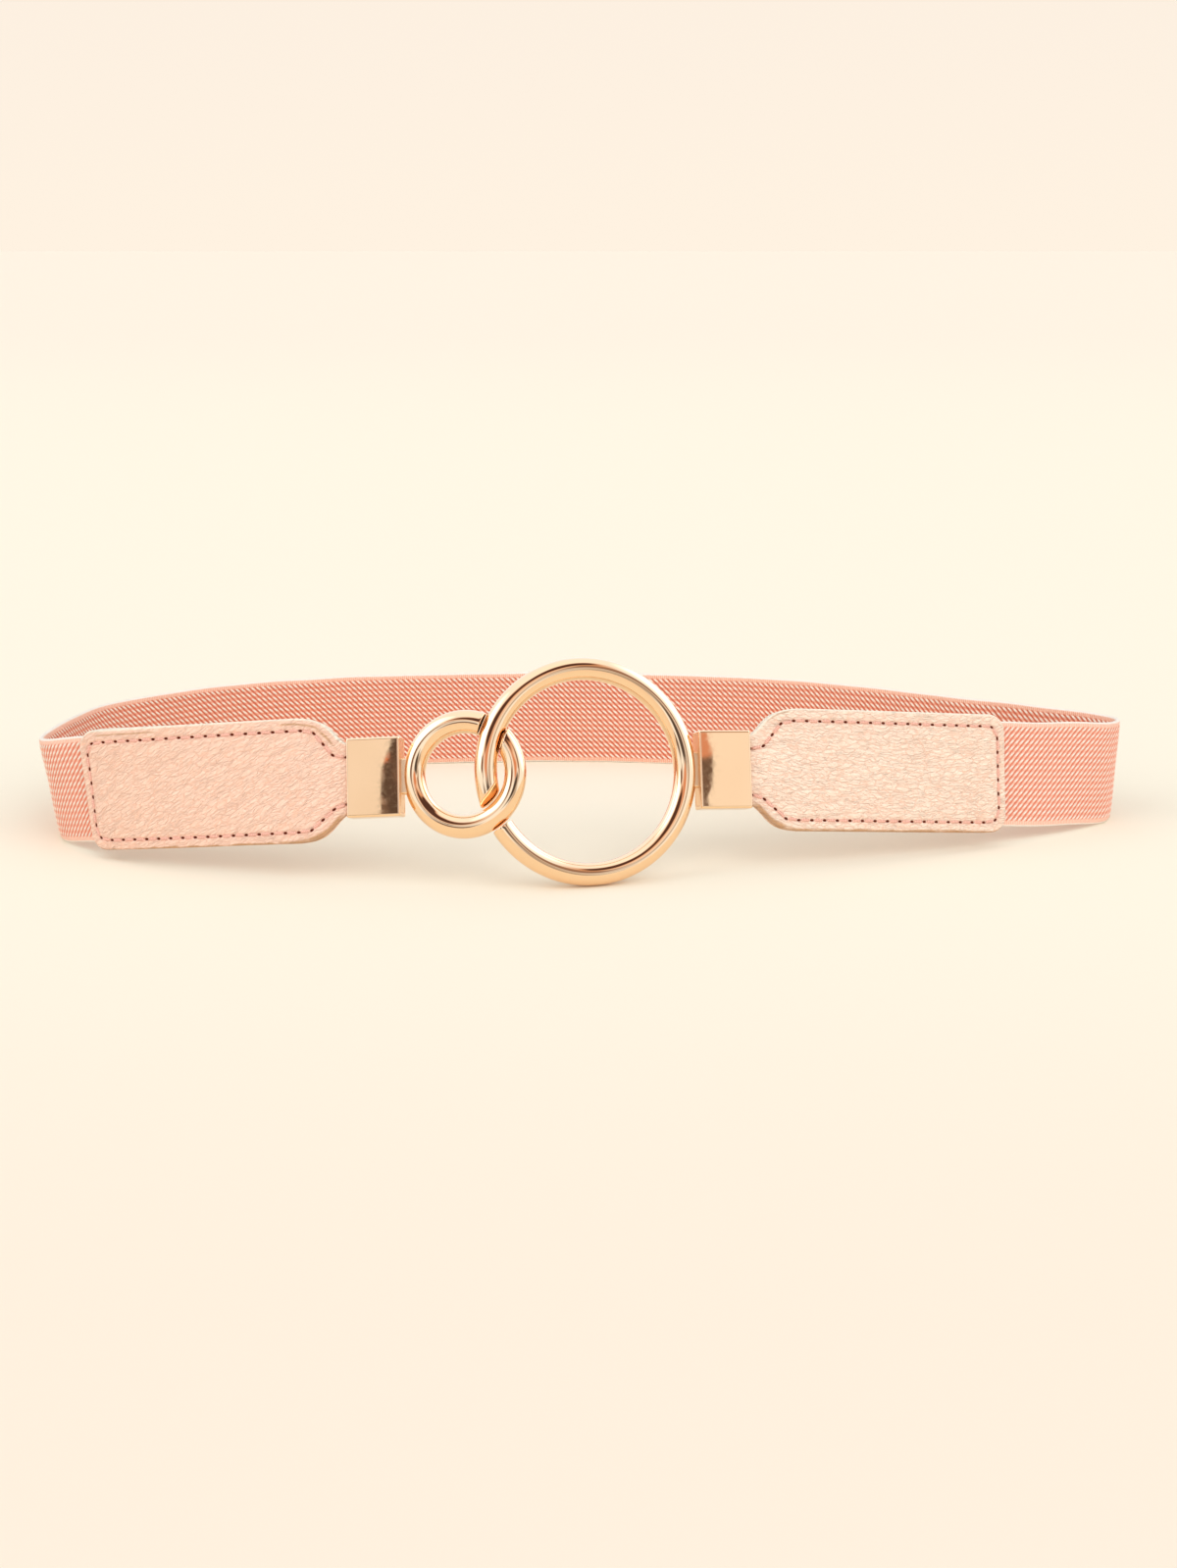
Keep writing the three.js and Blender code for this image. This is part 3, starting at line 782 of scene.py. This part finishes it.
def make_leather(side, layer, material, seed):
    cell = FRONT_CELL if layer == "front" else BACK_CELL
    ends = [0.0, 0.05, 0.13, 0.25, 0.4]
    stations = np.concatenate([
        [-NECK_INSERT, -2.5, -0.02, 0.02],
        np.arange(cell, TAB_LENGTH - 0.6, cell),
        [TAB_LENGTH - e for e in ends[::-1]],
    ])
    half = tab_half_at(stations)
    insets = np.concatenate([[0.0, 0.05, 0.13, 0.26, 0.42], np.arange(0.62, TAB_HALF, cell)])
    insets = np.append(insets[insets < TAB_HALF - 0.1], TAB_HALF)
    share = 1 - insets / TAB_HALF
    share = np.concatenate([-share, share[-2::-1]])
    along = np.broadcast_to(stations[:, None], (len(stations), len(share)))
    across = half[:, None] * share[None, :]
    face, edge, groove, hole = leather_face(side, along, across, seed)
    under_share = np.array([-1, -0.92, -0.9, 0, 0.9, 0.92, 1.0])
    under_across = half[:, None] * under_share[None, :]
    under_along = np.broadcast_to(stations[:, None], under_across.shape)
    over_band = smooth_step(BAND_WIDTH / 2 + 0.5, BAND_WIDTH / 2 + 0.3, np.abs(under_across))
    over_band = over_band * smooth_step(BAND_STOPS_SHORT - 1.2, BAND_STOPS_SHORT - 0.4, under_along)
    under = SEAM + (BAND_THICKNESS / 2 + CLEARANCE - SEAM) * over_band

    sign = 1 if layer == "front" else -1
    distances = stations if side == "right" else STRAP_LENGTH - stations
    axes = {key: value[:, None, :] for key, value in strap_axes(distances).items()}
    top = point_in(axes, np.zeros_like(face), across, sign * face)
    bottom = point_in(axes, np.zeros_like(under), under_across, sign * under)
    long, wide, under_wide = len(stations), len(share), len(under_share)
    points = np.concatenate([top.reshape(-1, 3), bottom.reshape(-1, 3)])
    base = long * wide
    top_faces = grid_quads(long, wide)
    bottom_faces = grid_quads(long, under_wide)[:, ::-1] + base
    top_low = np.arange(long - 1) * wide
    under_low = base + np.arange(long - 1) * under_wide
    top_high, under_high = top_low + wide - 1, under_low + under_wide - 1
    low_wall = np.stack([top_low, top_low + wide, under_low + under_wide, under_low], -1)
    high_wall = np.stack([top_high + wide, top_high, under_high, under_high + under_wide], -1)
    inner_end = np.concatenate([np.arange(wide)[::-1], base + np.arange(under_wide)])[None]
    last_top, last_under = (long - 1) * wide, base + (long - 1) * under_wide
    outer_end = np.concatenate([last_top + np.arange(wide), last_under + np.arange(under_wide)[::-1]])[None]
    faces = [top_faces, bottom_faces, low_wall, high_wall, inner_end, outer_end]

    count = len(points)
    leather = np.zeros((count, 3))
    leather[:base] = np.stack([along, across, edge], -1).reshape(-1, 3)
    leather[base:] = np.stack([under_along, under_across, under_across * 0], -1).reshape(-1, 3)
    grain = np.zeros((count, 3))
    grain[:base, :2] = np.stack(grain_place(side, along, across, seed), -1).reshape(-1, 2)
    grain[base:, :2] = np.stack(grain_place(side, under_along, under_across, seed), -1).reshape(-1, 2)
    # The third channel is painted shade: the left tab, lit less than the right one, is coloured darker.
    grain[:, 2] = 0.8 if side == "left" else 0
    marks = np.zeros((count, 3))
    wear = worn_lines(side, layer, along, across, edge)
    # The marks are real edge wear, the needle holes' painted shade and the stitch groove's painted shade.
    marks[:base] = np.stack([wear, hole, 0.35 * groove], -1).reshape(-1, 3)
    marks[base:, 0] = 0.8
    attributes = {"leather": leather, "grain": grain, "marks": marks}
    piece = make_piece(f"{side}_tab_{layer}_leather", points, faces, material, attributes)
    settle(piece, "leather", f"{side}_tab_{layer}")


def make_thread(side, layer, material, seed):
    sides, rings = 8, 13
    random = np.random.default_rng(seed)
    sign = 1 if layer == "front" else -1
    spread = np.linspace(0, 1, rings)
    points, faces, marks = [], [], []
    for index, (start, end) in enumerate(zip(HOLES[:-1], HOLES[1:])):
        aim = unit(end - start)
        cross = np.array([-aim[1], aim[0]])
        skew = random.normal(0, 0.05, 2)
        reach = 0.11 + 0.78 * spread
        line = start + (end - start) * reach[:, None] + cross * (skew[0] * np.sin(math.pi * spread))[:, None]
        inset = smooth_step(0, 0.18, spread) * smooth_step(0, 0.18, 1 - spread)
        level = leather_face(side, line[:, 0], line[:, 1], seed)[0]
        midway = np.broadcast_to((start + end) / 2, line.shape)
        quiet = leather_face(side, midway[:, 0], midway[:, 1], seed)[0]
        level = np.minimum(level + 0.5, quiet)
        height = level + (0.12 + 0.02 * skew[1]) * inset - 0.6 * (1 - inset)
        radius = THREAD_RADIUS * (0.7 + 0.3 * inset)
        turn = np.linspace(0, 2 * math.pi, sides, endpoint=False)
        ring_x = line[:, None, 0] + cross[0] * radius[:, None] * np.cos(turn)
        ring_y = line[:, None, 1] + cross[1] * radius[:, None] * np.cos(turn)
        ring_z = height[:, None] + radius[:, None] * np.sin(turn) * 0.85
        distances = ring_x if side == "right" else STRAP_LENGTH - ring_x
        placed = point_in(strap_axes(distances), ring_x * 0, ring_y, sign * ring_z)
        base = len(points) * rings * sides
        points.append(placed.reshape(-1, 3))
        faces.append(grid_quads(rings, sides, wrap=True) + base)
        step = np.broadcast_to((index * STITCH_PITCH + spread * STITCH_PITCH)[:, None], ring_x.shape)
        around = np.broadcast_to(turn, ring_x.shape)
        marks.append(np.stack([step, around, step * 0 + seed], -1).reshape(-1, 3))
    points, marks, quads = np.concatenate(points), np.concatenate(marks), np.concatenate(faces)
    stitches = len(HOLES) - 1
    first = np.arange(stitches)[:, None] * rings * sides
    caps = np.concatenate([
        first + np.arange(sides)[::-1][None, :],
        first + (rings - 1) * sides + np.arange(sides)[None, :],
    ])
    piece = make_piece(f"{side}_tab_{layer}_stitches", points, [quads, caps], material, {"thread": marks})
    settle(piece, "leather")


# Metal sleeves


def rounded_rectangle(height, thickness, corner, steps=6):
    """Points round a rectangle with round corners, as up and out."""
    points = []
    corner = max(corner, 0.02)
    quarters = ((1, 1), (-1, 1), (-1, -1), (1, -1))
    for quarter, (up_sign, out_sign) in enumerate(quarters):
        centre = np.array([up_sign * (height / 2 - corner), out_sign * (thickness / 2 - corner)])
        for turn in np.linspace(0, math.pi / 2, steps):
            angle = turn + quarter * math.pi / 2
            points.append(centre + corner * np.array([math.cos(angle), math.sin(angle)]))
    return np.array(points)


def make_sleeve(side, material):
    axes = RIGHT_HALF if side == "right" else LEFT_HALF
    start = RIGHT_MOUTH - SLEEVE_LENGTH if side == "right" else -LEFT_MOUTH
    end = start + SLEEVE_LENGTH

    def loop(place, inset, bore):
        height, thickness, corner = SLEEVE_HEIGHT, SLEEVE_THICKNESS, SLEEVE_CORNER
        if bore:
            height, thickness, corner = CAVITY_HEIGHT, CAVITY_THICKNESS, SLEEVE_CORNER / 2
        section = rounded_rectangle(height - 2 * inset, thickness - 2 * inset, corner - inset)
        return point_in(axes, section[:, 0] * 0 + place, section[:, 0], section[:, 1])

    turns = np.linspace(0, math.pi / 2, 5)
    bends = list(zip(1 - np.sin(turns), 1 - np.cos(turns)))
    outer, inner = SLEEVE_OUTER_ROUND, SLEEVE_BORE_ROUND
    loops = [loop(start + outer * a, outer * b, False) for a, b in bends[::-1]]
    loops += [loop(end - outer * a, outer * b, False) for a, b in bends]
    loops += [loop(end - inner * b, -inner * a, True) for a, b in bends]
    loops += [loop(start + inner * b, -inner * a, True) for a, b in bends[::-1]]
    loops.append(loops[0])
    points = np.stack(loops)
    count, around = points.shape[:2]
    brushed = np.zeros((count, around, 3))
    brushed[2 * len(turns):, :, 0] = 1
    brushed[-1] = brushed[0]
    piece = make_piece(
        f"{side}_sleeve_metal", points, [grid_quads(count, around, wrap=True)], material,
        {"brushed": brushed}, merge=True, sharp=70,
    )
    piece.modifiers.new("weighted_normals", "WEIGHTED_NORMAL").keep_sharp = True
    settle(piece, "gold_metal", f"{side}_sleeve")


# Rings: a wire swept round a hole, with its cuts found along each line of the wire


def wire_at(sides, top, angle):
    return sides + (top - sides) * np.sin(angle) ** 2


class Wire:
    """A ring's wire. A point has an angle round the ring, a turn round the wire and a share of its radius."""

    def __init__(self, axes, hole, sides, top):
        self.axes, self.hole, self.sides, self.top = axes, hole, sides, top

    def radius(self, angle):
        return wire_at(self.sides, self.top, angle)

    def point(self, angle, turn, share=1.0):
        wire = self.radius(angle)
        reach = self.hole + wire + share * wire * np.cos(turn)
        return point_in(self.axes, reach * np.cos(angle), reach * np.sin(angle), share * wire * np.sin(turn))

    def crossing(self, test, low, high, turn, share=1.0):
        """The angle between low and high where test changes sign, for each turn."""
        low = np.full(np.shape(turn), float(low))
        high = np.full(np.shape(turn), float(high))
        first = test(self.point(low, turn, share)) > 0
        for _ in range(40):
            middle = (low + high) / 2
            same = (test(self.point(middle, turn, share)) > 0) == first
            low = np.where(same, middle, low)
            high = np.where(same, high, middle)
        return (low + high) / 2


def reach_in(axes, points):
    local = local_in(axes, points)
    return np.hypot(local[..., 0], local[..., 1]), local[..., 2]


BIG = Wire(RIGHT_HALF, BIG_HOLE, BIG_WIRE, BIG_WIRE)
SMALL = Wire(LEFT_HALF, SMALL_HOLE, SMALL_WIRE_AT_SIDES, SMALL_WIRE_AT_TOP)
TURNS = np.linspace(0, 2 * math.pi, WIRE_SIDES, endpoint=False)
ROUND_TURNS = np.linspace(0, math.pi / 2, 4)


def stretch(start, end, steps):
    """Angles from start to end for each turn, without the last row."""
    share = np.linspace(0, 1, steps, endpoint=False)[:, None]
    return start[None, :] * (1 - share) + end[None, :] * share


def cut_end(wire, find, side, cut):
    """Loops that round the edge of a cut end. Side is 1 where the wire runs towards rising angles."""
    at = find(TURNS, 1.0)
    loops = []
    for turn in ROUND_TURNS:
        share = 1 - cut / wire.radius(at) * (1 - math.cos(turn))
        angle = find(TURNS, share)
        back = cut * (1 - math.sin(turn)) / (wire.hole + wire.radius(angle))
        loops.append(wire.point(angle - side * back, TURNS, share))
    return loops


def closed_end(find, side):
    """Loops that round the edge of one of the big ring's cut ends and run on to the end's middle."""
    shares = np.array([0.72, 0.45, 0.2, 0.0]) * (1 - CUT_ROUND / BIG_WIRE)
    middle = [BIG.point(find(TURNS, share), TURNS, share) for share in shares]
    return cut_end(BIG, find, side, CUT_ROUND) + middle


def finish_ring(name, loops, radius, reach, sign, axes, material):
    """A ring's mesh from its loops, with its tongue."""
    body = np.stack(loops)
    faces = [grid_quads(len(body), WIRE_SIDES, wrap=True)]
    polished = {"brushed": np.zeros(body.shape)}
    piece = make_piece(f"{name}_metal", body, faces, material, polished, merge=True, sharp=50)
    join_tongue(piece, radius, reach, sign, axes, material)
    settle(piece, "gold_metal", name)


def make_big_ring(material):
    slope = LOWER_FLARE / BIG_WIRE
    crossing_wire = wire_at(SMALL_WIRE_AT_SIDES, SMALL_WIRE_AT_TOP, math.pi / 3)
    inner = SMALL_HOLE - CROSSING_GAP
    outer = SMALL_HOLE + 2 * crossing_wire + CROSSING_GAP

    def past_outer(points):
        return reach_in(LEFT_HALF, points)[0] - outer

    def past_inner(points):
        return reach_in(LEFT_HALF, points)[0] - inner

    def past_flare(points):
        reach, out = reach_in(LEFT_HALF, points)
        return reach - (inner - slope * np.maximum(out, 0))

    def start_at(turns, share):
        return BIG.crossing(past_outer, -math.pi, -1.9, turns, share)

    def end_at(turns, share):
        return BIG.crossing(past_flare, math.pi, math.pi + 1.2, turns, share)

    lap_start = BIG.crossing(past_outer, 1.9, math.pi, TURNS)
    lap_end = BIG.crossing(past_inner, 1.9, math.pi, TURNS)
    plane = -LAP_DEPTH + CROSSING_GAP / 2

    def lapped(points):
        local = local_in(RIGHT_HALF, points)
        local[..., 2] = np.maximum(local[..., 2], plane)
        return point_in(RIGHT_HALF, local[..., 0], local[..., 1], local[..., 2])

    loops = closed_end(start_at, -1)[::-1]
    begin = start_at(TURNS, 1.0) + CUT_ROUND / BIG_RADIUS
    finish = end_at(TURNS, 1.0) - CUT_ROUND / BIG_RADIUS
    loops += [BIG.point(a, TURNS) for a in stretch(begin, lap_start, 210)[1:]]
    loops.append(BIG.point(lap_start, TURNS))
    loops += [lapped(BIG.point(a, TURNS)) for a in stretch(lap_start, lap_end, 14)]
    loops.append(lapped(BIG.point(lap_end, TURNS)))
    loops += [BIG.point(a, TURNS) for a in stretch(lap_end, finish, 26)]
    loops += closed_end(end_at, 1)
    finish_ring("big_ring", loops, BIG_RADIUS, BIG_REACH, 1, RIGHT_HALF, material)


def make_small_ring(material):
    floor = -LAP_DEPTH - CROSSING_GAP / 2
    lean_out = UPPER_FLARE / (BIG_WIRE - floor)
    inner = BIG_HOLE - CROSSING_GAP - UPPER_UNDERCUT / 2
    outer = BIG_HOLE + 2 * BIG_WIRE + CROSSING_GAP

    def past_tip(points):
        reach, out = reach_in(RIGHT_HALF, points)
        return reach - (inner + UPPER_UNDERCUT * np.maximum(out - floor, 0))

    def past_flank(points):
        reach, out = reach_in(RIGHT_HALF, points)
        return reach - (outer + lean_out * np.maximum(out - floor, 0))

    def tip_at(turns, share):
        return SMALL.crossing(past_tip, 0.0, 2.2, turns, share)

    def flank_at(turns, share):
        return SMALL.crossing(past_flank, 0.0, 2.2, turns, share)

    drop = float(LEFT_HALF["out"] @ RIGHT_HALF["out"])

    def depth_of(points):
        return reach_in(RIGHT_HALF, points)[1] - floor

    def floored(angle, points):
        cut = np.maximum(depth_of(points), 0)
        lowered = points - LEFT_HALF["out"] * (cut / drop)[:, None]
        local = local_in(LEFT_HALF, lowered)
        reach = np.hypot(local[:, 0], local[:, 1])
        wire = SMALL.radius(angle)
        offset = reach - (SMALL.hole + wire)
        limit = np.sqrt(np.maximum(wire**2 - local[:, 2] ** 2, 0.01))
        held = np.where(cut > 0, np.clip(offset, -limit, limit), offset)
        scale = (SMALL.hole + wire + held) / reach
        return point_in(LEFT_HALF, local[:, 0] * scale, local[:, 1] * scale, local[:, 2])

    def edge_loops(find, side):
        at = find(TURNS, 1.0)
        cut = np.clip(depth_of(SMALL.point(at, TURNS)) / CUT_ROUND, 0, 1) * CUT_ROUND
        return cut_end(SMALL, find, side, cut), at, cut / SMALL_RADIUS

    flank_loops, flank, flank_back = edge_loops(flank_at, -1)
    tip_loops, tip, tip_back = edge_loops(tip_at, 1)
    loops = [floored(flank, SMALL.point(flank, TURNS))]
    loops += flank_loops[::-1]
    start = flank + flank_back
    finish = tip + 2 * math.pi - tip_back
    loops += [SMALL.point(a, TURNS) for a in stretch(start, finish, 170)[1:]]
    loops += tip_loops
    loops += [floored(a, SMALL.point(a, TURNS)) for a in stretch(tip, flank, 16)]
    loops.append(loops[0])
    finish_ring("small_ring", loops, SMALL_RADIUS, SMALL_REACH, -1, LEFT_HALF, material)


def join_tongue(ring, radius, reach, sign, axes, material):
    """Adds a ring's short stem, and the plate it spreads into that closes the sleeve, to its mesh."""
    mouth = reach + RING_TO_SLEEVE
    plate = (CAVITY_HEIGHT - 0.06, CAVITY_THICKNESS - 0.06, 0.25)
    stem = (STEM_HEIGHT, CAVITY_THICKNESS - 2 * CLEARANCE, 0.5)
    rows = [
        (radius, stem), (mouth - 0.1, stem), (mouth + 0.1, plate), (mouth + 0.18, plate),
        (mouth + TONGUE_INSERT - 0.25, plate), (mouth + TONGUE_INSERT, (plate[0] - 0.5, plate[1] - 0.5, 0.1)),
    ]
    loops = []
    for place, shape in rows:
        section = rounded_rectangle(*shape)
        loops.append(point_in(axes, section[:, 0] * 0 + sign * place, section[:, 0], section[:, 1]))
    points = np.concatenate(loops)
    around = len(loops[0])
    last = (len(rows) - 1) * around
    caps = [np.arange(around)[::-1][None], (last + np.arange(around))[None]]
    brushed = np.zeros((len(points), 3))
    brushed[:, 0] = 1
    faces = [grid_quads(len(rows), around, wrap=True), *caps]
    tongue = make_piece("tongue", points, faces, material, {"brushed": brushed}, sharp=40)
    work = bmesh.new()
    work.from_mesh(ring.data)
    work.from_mesh(tongue.data)
    work.to_mesh(ring.data)
    work.free()
    bpy.data.objects.remove(tongue)
    ring.modifiers.new("weighted_normals", "WEIGHTED_NORMAL").keep_sharp = True


# Stage: camera, floor, lights and surroundings

# Painted light: the floor is coloured lighter around and behind the belt, as a pool of light, and darker
# nearer the camera and far off.
FLOOR_NEAR = linear(253, 239, 222)
FLOOR_MIDDLE = linear(253, 246, 229)
FLOOR_FAR = linear(253, 242, 227)
FLOOR_HALF_WIDTH = 60.0
BACKDROP_LOW = linear(255, 242, 225)
BACKDROP_HIGH = linear(253, 240, 225)
WORLD_COLOUR = linear(255, 254, 252)
WORLD_STRENGTH = 0.62


def make_camera():
    data = bpy.data.cameras.new("camera")
    data.sensor_fit = "AUTO"
    data.sensor_width = 36.0
    data.lens = PHOTO_FOCAL / PHOTO_HEIGHT * data.sensor_width
    data.clip_start, data.clip_end = 0.01, 100.0
    camera = add_object("camera", data)
    camera.location = [value * MM for value in CAMERA_PLACE]
    camera.rotation_euler = ((90 - CAMERA_PITCH) * DEGREE, 0, 0)
    bpy.context.scene.camera = camera


def make_floor():
    s = Shader("pale_floor")
    place = s.node("ShaderNodeTexCoord").outputs["Object"]
    away = s.node("ShaderNodeSeparateXYZ", {0: place}).outputs[1]
    # Painted light: a pool of light around the belt, darker towards the camera and far off.
    colour = s.mix(s.ramp(away, -0.3, -0.04, kind="SMOOTHSTEP"), FLOOR_NEAR, FLOOR_MIDDLE)
    colour = s.mix(s.ramp(away, 0.6, 3.4, kind="SMOOTHSTEP"), colour, FLOOR_FAR)
    s.set(Base_Color=colour, Roughness=1.0, Specular_IOR_Level=0.0)
    size = FLOOR_HALF_WIDTH
    mesh = bpy.data.meshes.new("floor")
    corners = [(-size, -size, 0), (size, -size, 0), (size, size, 0), (-size, size, 0)]
    mesh.from_pydata(corners, [], [(0, 1, 2, 3)])
    mesh.materials.append(s.material)
    floor = add_object("floor", mesh)


# Each lamp's name, direction it shines from as azimuth and height, strength and softness
LAMPS = [
    ("left_softbox", -62, 34, 0.64, 50),
    ("right_softbox", 42, 38, 0.78, 50),
    ("front_softbox", 4, 31, 0.54, 50),
    ("overhead", 180, 78, 0.18, 60),
]


def make_lamps():
    for name, azimuth, height, strength, softness in LAMPS:
        data = bpy.data.lights.new(name, "SUN")
        data.energy = strength
        data.angle = softness * DEGREE
        data.color = (1.0, 0.995, 0.985)
        lamp = add_object(name, data)
        turn, climb = azimuth * DEGREE, height * DEGREE
        level = math.cos(climb)
        source = Vector((level * math.sin(turn), -level * math.cos(turn), math.sin(climb)))
        lamp.rotation_euler = (-source).to_track_quat("-Z", "Y").to_euler()
        lamp.location = source * 2
        lamp.visible_glossy = False


def mirrored_room(s, direction, across, rise):
    """What the metal mirrors: a pale room with two soft boxes, and dark shapes before the belt."""
    place = s.node("ShaderNodeCombineXYZ", {0: across, 1: rise}).outputs[0]
    wobble = s.node("ShaderNodeTexNoise", {"Vector": direction, "Scale": 5.0, "Detail": 3.0}).outputs["Color"]
    away = s.vector("MULTIPLY", s.vector("SUBTRACT", wobble, (0.5, 0.5, 0.5)), (9, 9, 0))
    bent = s.vector("ADD", place, away)
    mottle = s.noise(direction, 14.0, 3.0)
    dim = s.mix(mottle, (0.04, 0.02, 0.018, 1), (0.16, 0.085, 0.07, 1))
    seen = s.mix(s.ramp(rise, 55, 85), (1.08, 1.2, 1.36, 1), (1.15, 1.25, 1.3, 1))
    rim = (0.8, 0.46, 0.3, 1)
    shapes = [
        ((-80, 36), (32, 21), 0, 0.35, (2.4, 2.6, 3.0, 1)),
        ((112, 30), (36, 22), 0, 0.35, (2.4, 2.6, 3.0, 1)),
        ((16, 34), (20, 11), 0, 0.3, (1.0, 0.86, 0.8, 1)),
        ((42, 32), (10, 19), -6, 0.25, (0.36, 0.24, 0.19, 1)),
        ((-12, 44), (30, 18), 6, 0.25, rim),
        ((27, 56), (43, 16), 10, 0.25, rim),
        ((-12, 44), (25, 14), 6, 0.15, dim),
        ((27, 57), (38, 11.5), 10, 0.15, dim),
        ((4, 26), (15, 5), 4, 0.3, (0.78, 0.36, 0.22, 1)),
        ((16, 15), (20, 5.5), 3, 0.35, (0.5, 0.42, 0.36, 1)),
        ((9, 15.5), (16, 6), 3, 0.25, (0.1, 0.085, 0.085, 1)),
        ((24, 4), (12, 8), 0, 0.5, (0.5, 0.46, 0.43, 1)),
        ((-28, 2), (11, 11), 0, 0.4, (0.22, 0.17, 0.16, 1)),
        ((-37, 22), (11, 6), 0, 0.25, (0.22, 0.13, 0.11, 1)),
    ]
    for centre, half, tilt, edge, colour in shapes:
        seen = s.mix(s.patch(bent, centre, half, tilt, edge), seen, colour)
    return sleeve_views(s, direction, place, across, rise, seen)


def sleeve_views(s, direction, place, across, rise, seen):
    """The small parts of the room that the flat sleeves mirror: pale, dark at the ring's side."""
    grit = s.noise(s.scaled(direction, 150, 150, 90), 1.0, 3.0, 0.6)
    cloud = s.noise(direction, 24.0, 1.0)
    brown, tan, orange = (0.12, 0.085, 0.07, 1), (0.32, 0.21, 0.17, 1), (0.8, 0.28, 0.15, 1)
    nudge = s.times(s.minus(grit, 0.5), 0.12)

    plain = s.mix(cloud, (0.94, 0.89, 0.86, 1), (1.04, 1.03, 1.04, 1))
    left = s.mix(s.ramp(grit, 0.52, 0.62, 0.0, 0.4), brown, tan)
    for centre, half, tilt, colour in (
        ((-27.58, 20.95), (0.05, 0.25), -4, tan), ((-27.44, 20.2), (0.15, 0.09), -32, tan),
        ((-27.5, 21.46), (0.035, 0.18), -24, orange), ((-27.43, 21.5), (0.03, 0.14), -20, orange),
    ):
        left = s.mix(s.patch(place, centre, half, tilt, 0.25), left, colour)
    bound = s.add(s.ramp(rise, 21.18, 21.87, -27.62, -27.4), s.ramp(rise, 20.0, 21.1, 0.14, 0.0))
    off = s.minus(across, s.add(bound, nudge))
    left = s.mix(s.ramp(off, -0.012, 0.012), plain, left)
    seen = s.mix(s.patch(place, (-28.4, 20.9), (1.9, 3.2), 0, 0.1), seen, left)

    plain = s.mix(cloud, (1.02, 0.97, 0.95, 1), (1.1, 1.11, 1.14, 1))
    right = s.mix(s.ramp(grit, 0.5, 0.6, 0.0, 0.3), (0.17, 0.12, 0.1, 1), tan)
    right = s.mix(s.ramp(s.add(rise, nudge), 20.92, 21.0), right, (0.75, 0.36, 0.24, 1))
    from_middle = s.math("DIVIDE", s.minus(rise, 20.61), 0.77)
    fourth = s.math("POWER", s.math("ABSOLUTE", from_middle), 4.0)
    swell = s.math("MAXIMUM", s.minus(1.0, fourth), 0.0)
    bound = s.add(s.times(swell, 0.19), s.ramp(rise, 19.7, 21.4, 35.6, 35.99))
    right = s.mix(s.ramp(s.minus(across, bound), -0.012, 0.012), right, plain)
    return s.mix(s.patch(place, (37.2, 20.5), (1.9, 3.2), 0, 0.1), seen, right)


def make_world():
    """An even pale light, a plain backdrop, and the room that polished metal mirrors."""
    world = bpy.data.worlds.new("studio")
    bpy.context.scene.world = world
    world.use_nodes = True
    s = Nodes(world.node_tree)
    s.tree.nodes.clear()
    direction = s.node("ShaderNodeTexCoord").outputs["Generated"]
    parts = s.node("ShaderNodeSeparateXYZ", {0: direction}).outputs
    across = s.math("ARCTAN2", parts[0], s.times(parts[1], -1.0))
    across = s.times(across, 1 / DEGREE)
    rise = s.times(s.math("ARCSINE", parts[2]), 1 / DEGREE)
    seen = mirrored_room(s, direction, across, rise)
    rays = s.node("ShaderNodeLightPath").outputs
    backdrop = s.mix(s.ramp(rise, -1.0, 7.0, kind="SMOOTHSTEP"), BACKDROP_LOW, BACKDROP_HIGH)
    plain, lit, mirrored = (
        s.node("ShaderNodeBackground", {"Color": colour, "Strength": strength}).outputs[0]
        for colour, strength in ((backdrop, 1.0), (WORLD_COLOUR, WORLD_STRENGTH), (seen, 1.0))
    )
    glossy = s.node("ShaderNodeMixShader", {0: rays["Is Glossy Ray"], 1: lit, 2: mirrored}).outputs[0]
    final = s.node("ShaderNodeMixShader", {0: rays["Is Camera Ray"], 1: glossy, 2: plain}).outputs[0]
    s.node("ShaderNodeOutputWorld", {"Surface": final})


def make_stage():
    bpy.context.scene.view_settings.view_transform = "Standard"
    make_camera()
    make_floor()
    make_lamps()
    make_world()


make_stage()
webbing_look = webbing_material()
leather_look = leather_material()
thread_look = thread_material()
gold_look = gold_material()
seeds = {("left", "front"): 11, ("left", "back"): 23, ("right", "front"): 35, ("right", "back"): 47}
for (side, layer), seed in seeds.items():
    make_leather(side, layer, leather_look, seed)
    make_thread(side, layer, thread_look, seed)
make_webbing(webbing_look)
for side in ("left", "right"):
    make_sleeve(side, gold_look)
make_big_ring(gold_look)
make_small_ring(gold_look)
